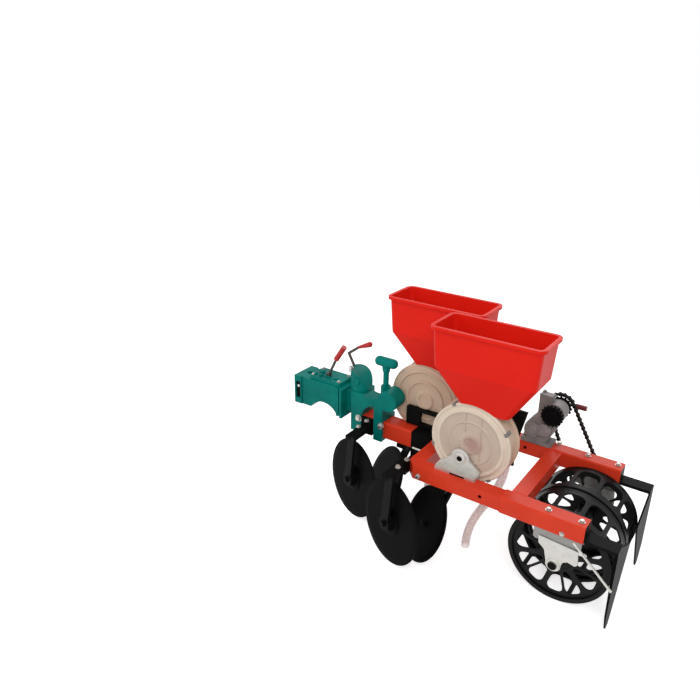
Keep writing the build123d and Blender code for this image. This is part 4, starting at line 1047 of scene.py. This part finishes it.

# %% [markdown]
# The socket's rim has a window on each side. A thin black sheet closes it a little way in, painted
# shade for the dark inside of the socket, with the head of a pin on it, and the socket itself stays
# open. Low cast lumps stand on the cover plate.

# %% Painted shade sheets in the rim, pins and cover lumps
SHADE_WEB_SIDES = ((0.844, 0.875, LEFT), (0.156, 0.125, RIGHT))
PIN_PROFILE = [(0, -1), (4.5, -1), (4.5, 3), (3.5, 4), (0, 4)]
COVER_LUMPS = ((0.54, 0.65, 13, 4), (0.80, 0.50, 9, 8), (0.90, 0.78, 7, 6), (0.70, 0.82, 6, 7),
               (0.27, 0.68, 8, 4))
LUMP_FOOT, LUMP_ROUND = -1, [(0.95, 0.6), (0.7, 1.0), (0, 1.0)]
rim_low, rim_high = spot("hitch_box", 0.898, 0, 0.18), spot("hitch_box", 0.987, 0, 0.82)
rim_shade_webs, rim_pins, lumps = bmesh.new(), bmesh.new(), bmesh.new()
# each window gets a black sheet of painted shade and a pin
for inner, outer, facing in SHADE_WEB_SIDES:
    slab(rim_shade_webs, oblong(rim_low.x, rim_high.x, rim_low.z, rim_high.z),
         spot("hitch_box", 0, inner, 0).y, spot("hitch_box", 0, outer, 0).y)
    spin(rim_pins, spot("hitch_box", 0.943, outer, 0.62), facing, PIN_PROFILE, steps=20)
for along, across, radius, height in COVER_LUMPS:
    spin(lumps, spot("hitch_cover", along, across, 1.0), UP, [(0, LUMP_FOOT), (radius, LUMP_FOOT)]
         + [(radius * share, height * level) for share, level in LUMP_ROUND], steps=32)
# the black sheets are painted shade inside the socket's windows
keep("hitch_rim_shade_webs", rim_shade_webs, "black_paint", "hitch_head")
keep("hitch_rim_pins", rim_pins, "bright_steel", "hitch_head")
keep("hitch_cover_lumps", lumps, "hitch_paint", "hitch_head")

# %% [markdown]
# Tubes of a farm frame are joined by hand, and the weld shows as a row of overlapping scales. The
# recipe follows each seam and drops flattened drops along it, a little different in size.

# %% Weld beads
DROP_FLATNESS, SMALLEST_DROP, LARGEST_DROP, DROP_SEED = 0.75, 0.8, 1.15, 5
RANDOM_LOW, RANDOM_HIGH, RANDOM_RESULT = 2, 3, 1
weld_recipe = Recipe("weld_bead", ["Bead", "Step"])
seam = weld_recipe.add("GeometryNodeResampleCurve", {
    "Curve": weld_recipe.add("GeometryNodeMeshToCurve", {0: weld_recipe.source.outputs["Geometry"]}),
    "Length": weld_recipe.size("Step")}, {"mode": "LENGTH"})
drop = weld_recipe.moved(weld_recipe.add("GeometryNodeMeshIcoSphere", {
    "Radius": weld_recipe.size("Bead"), "Subdivisions": 2}), stretch=(DROP_FLATNESS, 1.0, 1.0))
weld_recipe.end(weld_recipe.add("GeometryNodeInstanceOnPoints", {
    "Points": seam, "Instance": drop,
    "Rotation": weld_recipe.add("FunctionNodeAlignRotationToVector", {
        "Vector": weld_recipe.add("GeometryNodeInputTangent")}, {"axis": "X"}),
    "Scale": weld_recipe.add("FunctionNodeRandomValue", {
        RANDOM_LOW: SMALLEST_DROP, RANDOM_HIGH: LARGEST_DROP, "Seed": DROP_SEED},
        {"data_type": "FLOAT"}, take=RANDOM_RESULT)}))
print("weld recipe:", len(weld_recipe.tree.nodes), "nodes")

# %% [markdown]
# The seams run around both ends of the cross tubes, around the foot of the drawbar's post, and around
# each front beam where it enters its clamp. Each is four corners joined in a ring.

# %% Seams
BEAM_SEAM, POST_LOW, POST_HIGH = 0.315, 0.42, 0.9
seams = [[spot(tube, along, end, up) for along, up in oblong(0, 1, 0, 1)]
         for tube in ("rear_cross", "front_cross") for end in (0.0, 1.0)]
seams.append([spot("drawbar_post", 0.0, across, up) for across, up in oblong(0, 1, POST_LOW, POST_HIGH)])
seams += [[spot(f"front_beam_{side}", BEAM_SEAM, across, up) for across, up in oblong(0, 1, 0, 1)]
          for side, outward in SIDES]
seam_mesh = bpy.data.meshes.new("seam_paths")
seam_points = [point for corners in seams for point in corners]
seam_edges = [(start + step, start + (step + 1) % 4)
              for start in range(0, len(seam_points), 4) for step in range(4)]
seam_mesh.from_pydata(seam_points, seam_edges, [])
grow("weld_beads", weld_recipe, seam_mesh, "frame_paint", "frame", {"Bead": 2.4 * MM, "Step": 2.8 * MM})

# %% [markdown]
# The floor is pale and plain. Camera rays see it almost white, as in a catalogue picture, while the
# light that it throws back on the machine stays that of a white floor. It keeps the soft shadow.

# %% Floor
FLOOR_GLOW, FLOOR_HALF = 0.62, 6.0
WHITE, PALE = tone(1.0, 1.0, 1.0), tone(0.82, 0.82, 0.82)


def seen_straight(tree):
    path = tree.nodes.new("ShaderNodeLightPath")
    camera, glossy, passed = [Wire(tree, path.outputs[label]) for label in (
        "Is Camera Ray", "Is Glossy Ray", "Is Transmission Ray")]
    return (camera + glossy + passed).clamped()


def pale_floor():
    ground = Finish("pale_floor")
    ground.use(Base_Color=PALE, Roughness=0.9, Specular_IOR_Level=0.1)
    glow = ground.node("ShaderNodeEmission", (), {
        "Color": WHITE, "Strength": seen_straight(ground.tree) * FLOOR_GLOW})
    both = ground.node("ShaderNodeAddShader", (), {0: Wire(ground.tree, ground.shader.outputs[0]), 1: glow})
    ground.tree.links.new(both.socket, ground.output.inputs["Surface"])
    return ground.material


floor_mesh = bpy.data.meshes.new("studio_floor")
floor_form = bmesh.new()
bmesh.ops.create_grid(floor_form, x_segments=8, y_segments=8, size=FLOOR_HALF)
floor_form.to_mesh(floor_mesh)
floor_form.free()
floor = bpy.data.objects.new("studio_floor", floor_mesh)
bpy.context.scene.collection.objects.link(floor)
floor.data.materials.append(pale_floor())
print("floor laid")

# %% [markdown]
# One large soft lamp on the near left gives the shading of the picture, a weaker one on the other
# side fills it in, and a third behind draws the edges.

# %% Lamps
def soft_lamp(name, place, aim, size, power):
    data = bpy.data.lights.new(name, "AREA")
    data.shape = "DISK"
    data.size = size
    data.energy = power
    lamp = bpy.data.objects.new(name, data)
    bpy.context.scene.collection.objects.link(lamp)
    lamp.location = place
    lamp.rotation_euler = (Vector(aim) - Vector(place)).to_track_quat("-Z", "Y").to_euler()
    print(name, "set")


middle = (low_corner + high_corner) / 2
soft_lamp("key_lamp", (-1.4, 2.2, 2.7), middle, 1.8, 46.0)
soft_lamp("fill_lamp", (2.0, 1.4, 1.9), middle, 2.2, 18.0)
soft_lamp("back_lamp", (0.3, -2.4, 2.2), middle, 1.8, 20.0)

# %% [markdown]
# The world lights everything evenly at half strength, and is white where it is seen straight or in a
# reflection, so that metal has a bright room around it.

# %% World
WORLD_LIGHT = 0.5
world = bpy.data.worlds.new("studio_world")
world.use_nodes = True
world.node_tree.nodes.clear()
sky = world.node_tree.nodes.new("ShaderNodeBackground")
sky_out = world.node_tree.nodes.new("ShaderNodeOutputWorld")
strength = seen_straight(world.node_tree) * (1 - WORLD_LIGHT) + WORLD_LIGHT
world.node_tree.links.new(strength.socket, sky.inputs["Strength"])
world.node_tree.links.new(sky.outputs[0], sky_out.inputs["Surface"])
sky.inputs["Color"].default_value = WHITE
bpy.context.scene.world = world
bpy.context.scene.view_settings.view_transform = "Standard"
print("world set")

# %% [markdown]
# The camera repeats the picture's own viewpoint: its place and turn were measured from straight
# edges and circles of the machine. Its axes are written out, because a camera looks along its own -Z.

# %% Camera
EYE_PLACE = Vector((-0.2657, 1.2669, 1.1699))
ORIGIN_SHIFT = Vector((0.426462, -0.136928, 0.0))
YAW, PITCH, ROLL = 0.6185, 0.3896, 0.009
FOCAL_PIXELS, PICTURE_PIXELS, SENSOR_WIDTH, NEAREST = 659.6092, 700, 36.0, 0.05
ahead = Vector((math.sin(YAW) * math.cos(PITCH), -math.cos(YAW) * math.cos(PITCH), -math.sin(PITCH)))
level = ahead.cross(Vector((0, 0, 1))).normalized()
upward = level.cross(ahead)
side = level * math.cos(ROLL) + upward * math.sin(ROLL)
top = upward * math.cos(ROLL) - level * math.sin(ROLL)

eye_data = bpy.data.cameras.new("picture_camera")
eye_data.sensor_width = SENSOR_WIDTH
eye_data.lens = FOCAL_PIXELS / PICTURE_PIXELS * SENSOR_WIDTH
eye_data.clip_start = NEAREST
eye = bpy.data.objects.new("picture_camera", eye_data)
bpy.context.scene.collection.objects.link(eye)
turn = Matrix((side, top, -ahead)).transposed().to_4x4()
eye.matrix_world = Matrix.Translation(EYE_PLACE - ORIGIN_SHIFT) @ turn
bpy.context.scene.camera = eye
print("camera at", tuple(round(value, 3) for value in eye.location))

# %% [markdown]
# The last cell prints that the dressing is done.

# %% The end
print("dressing done")
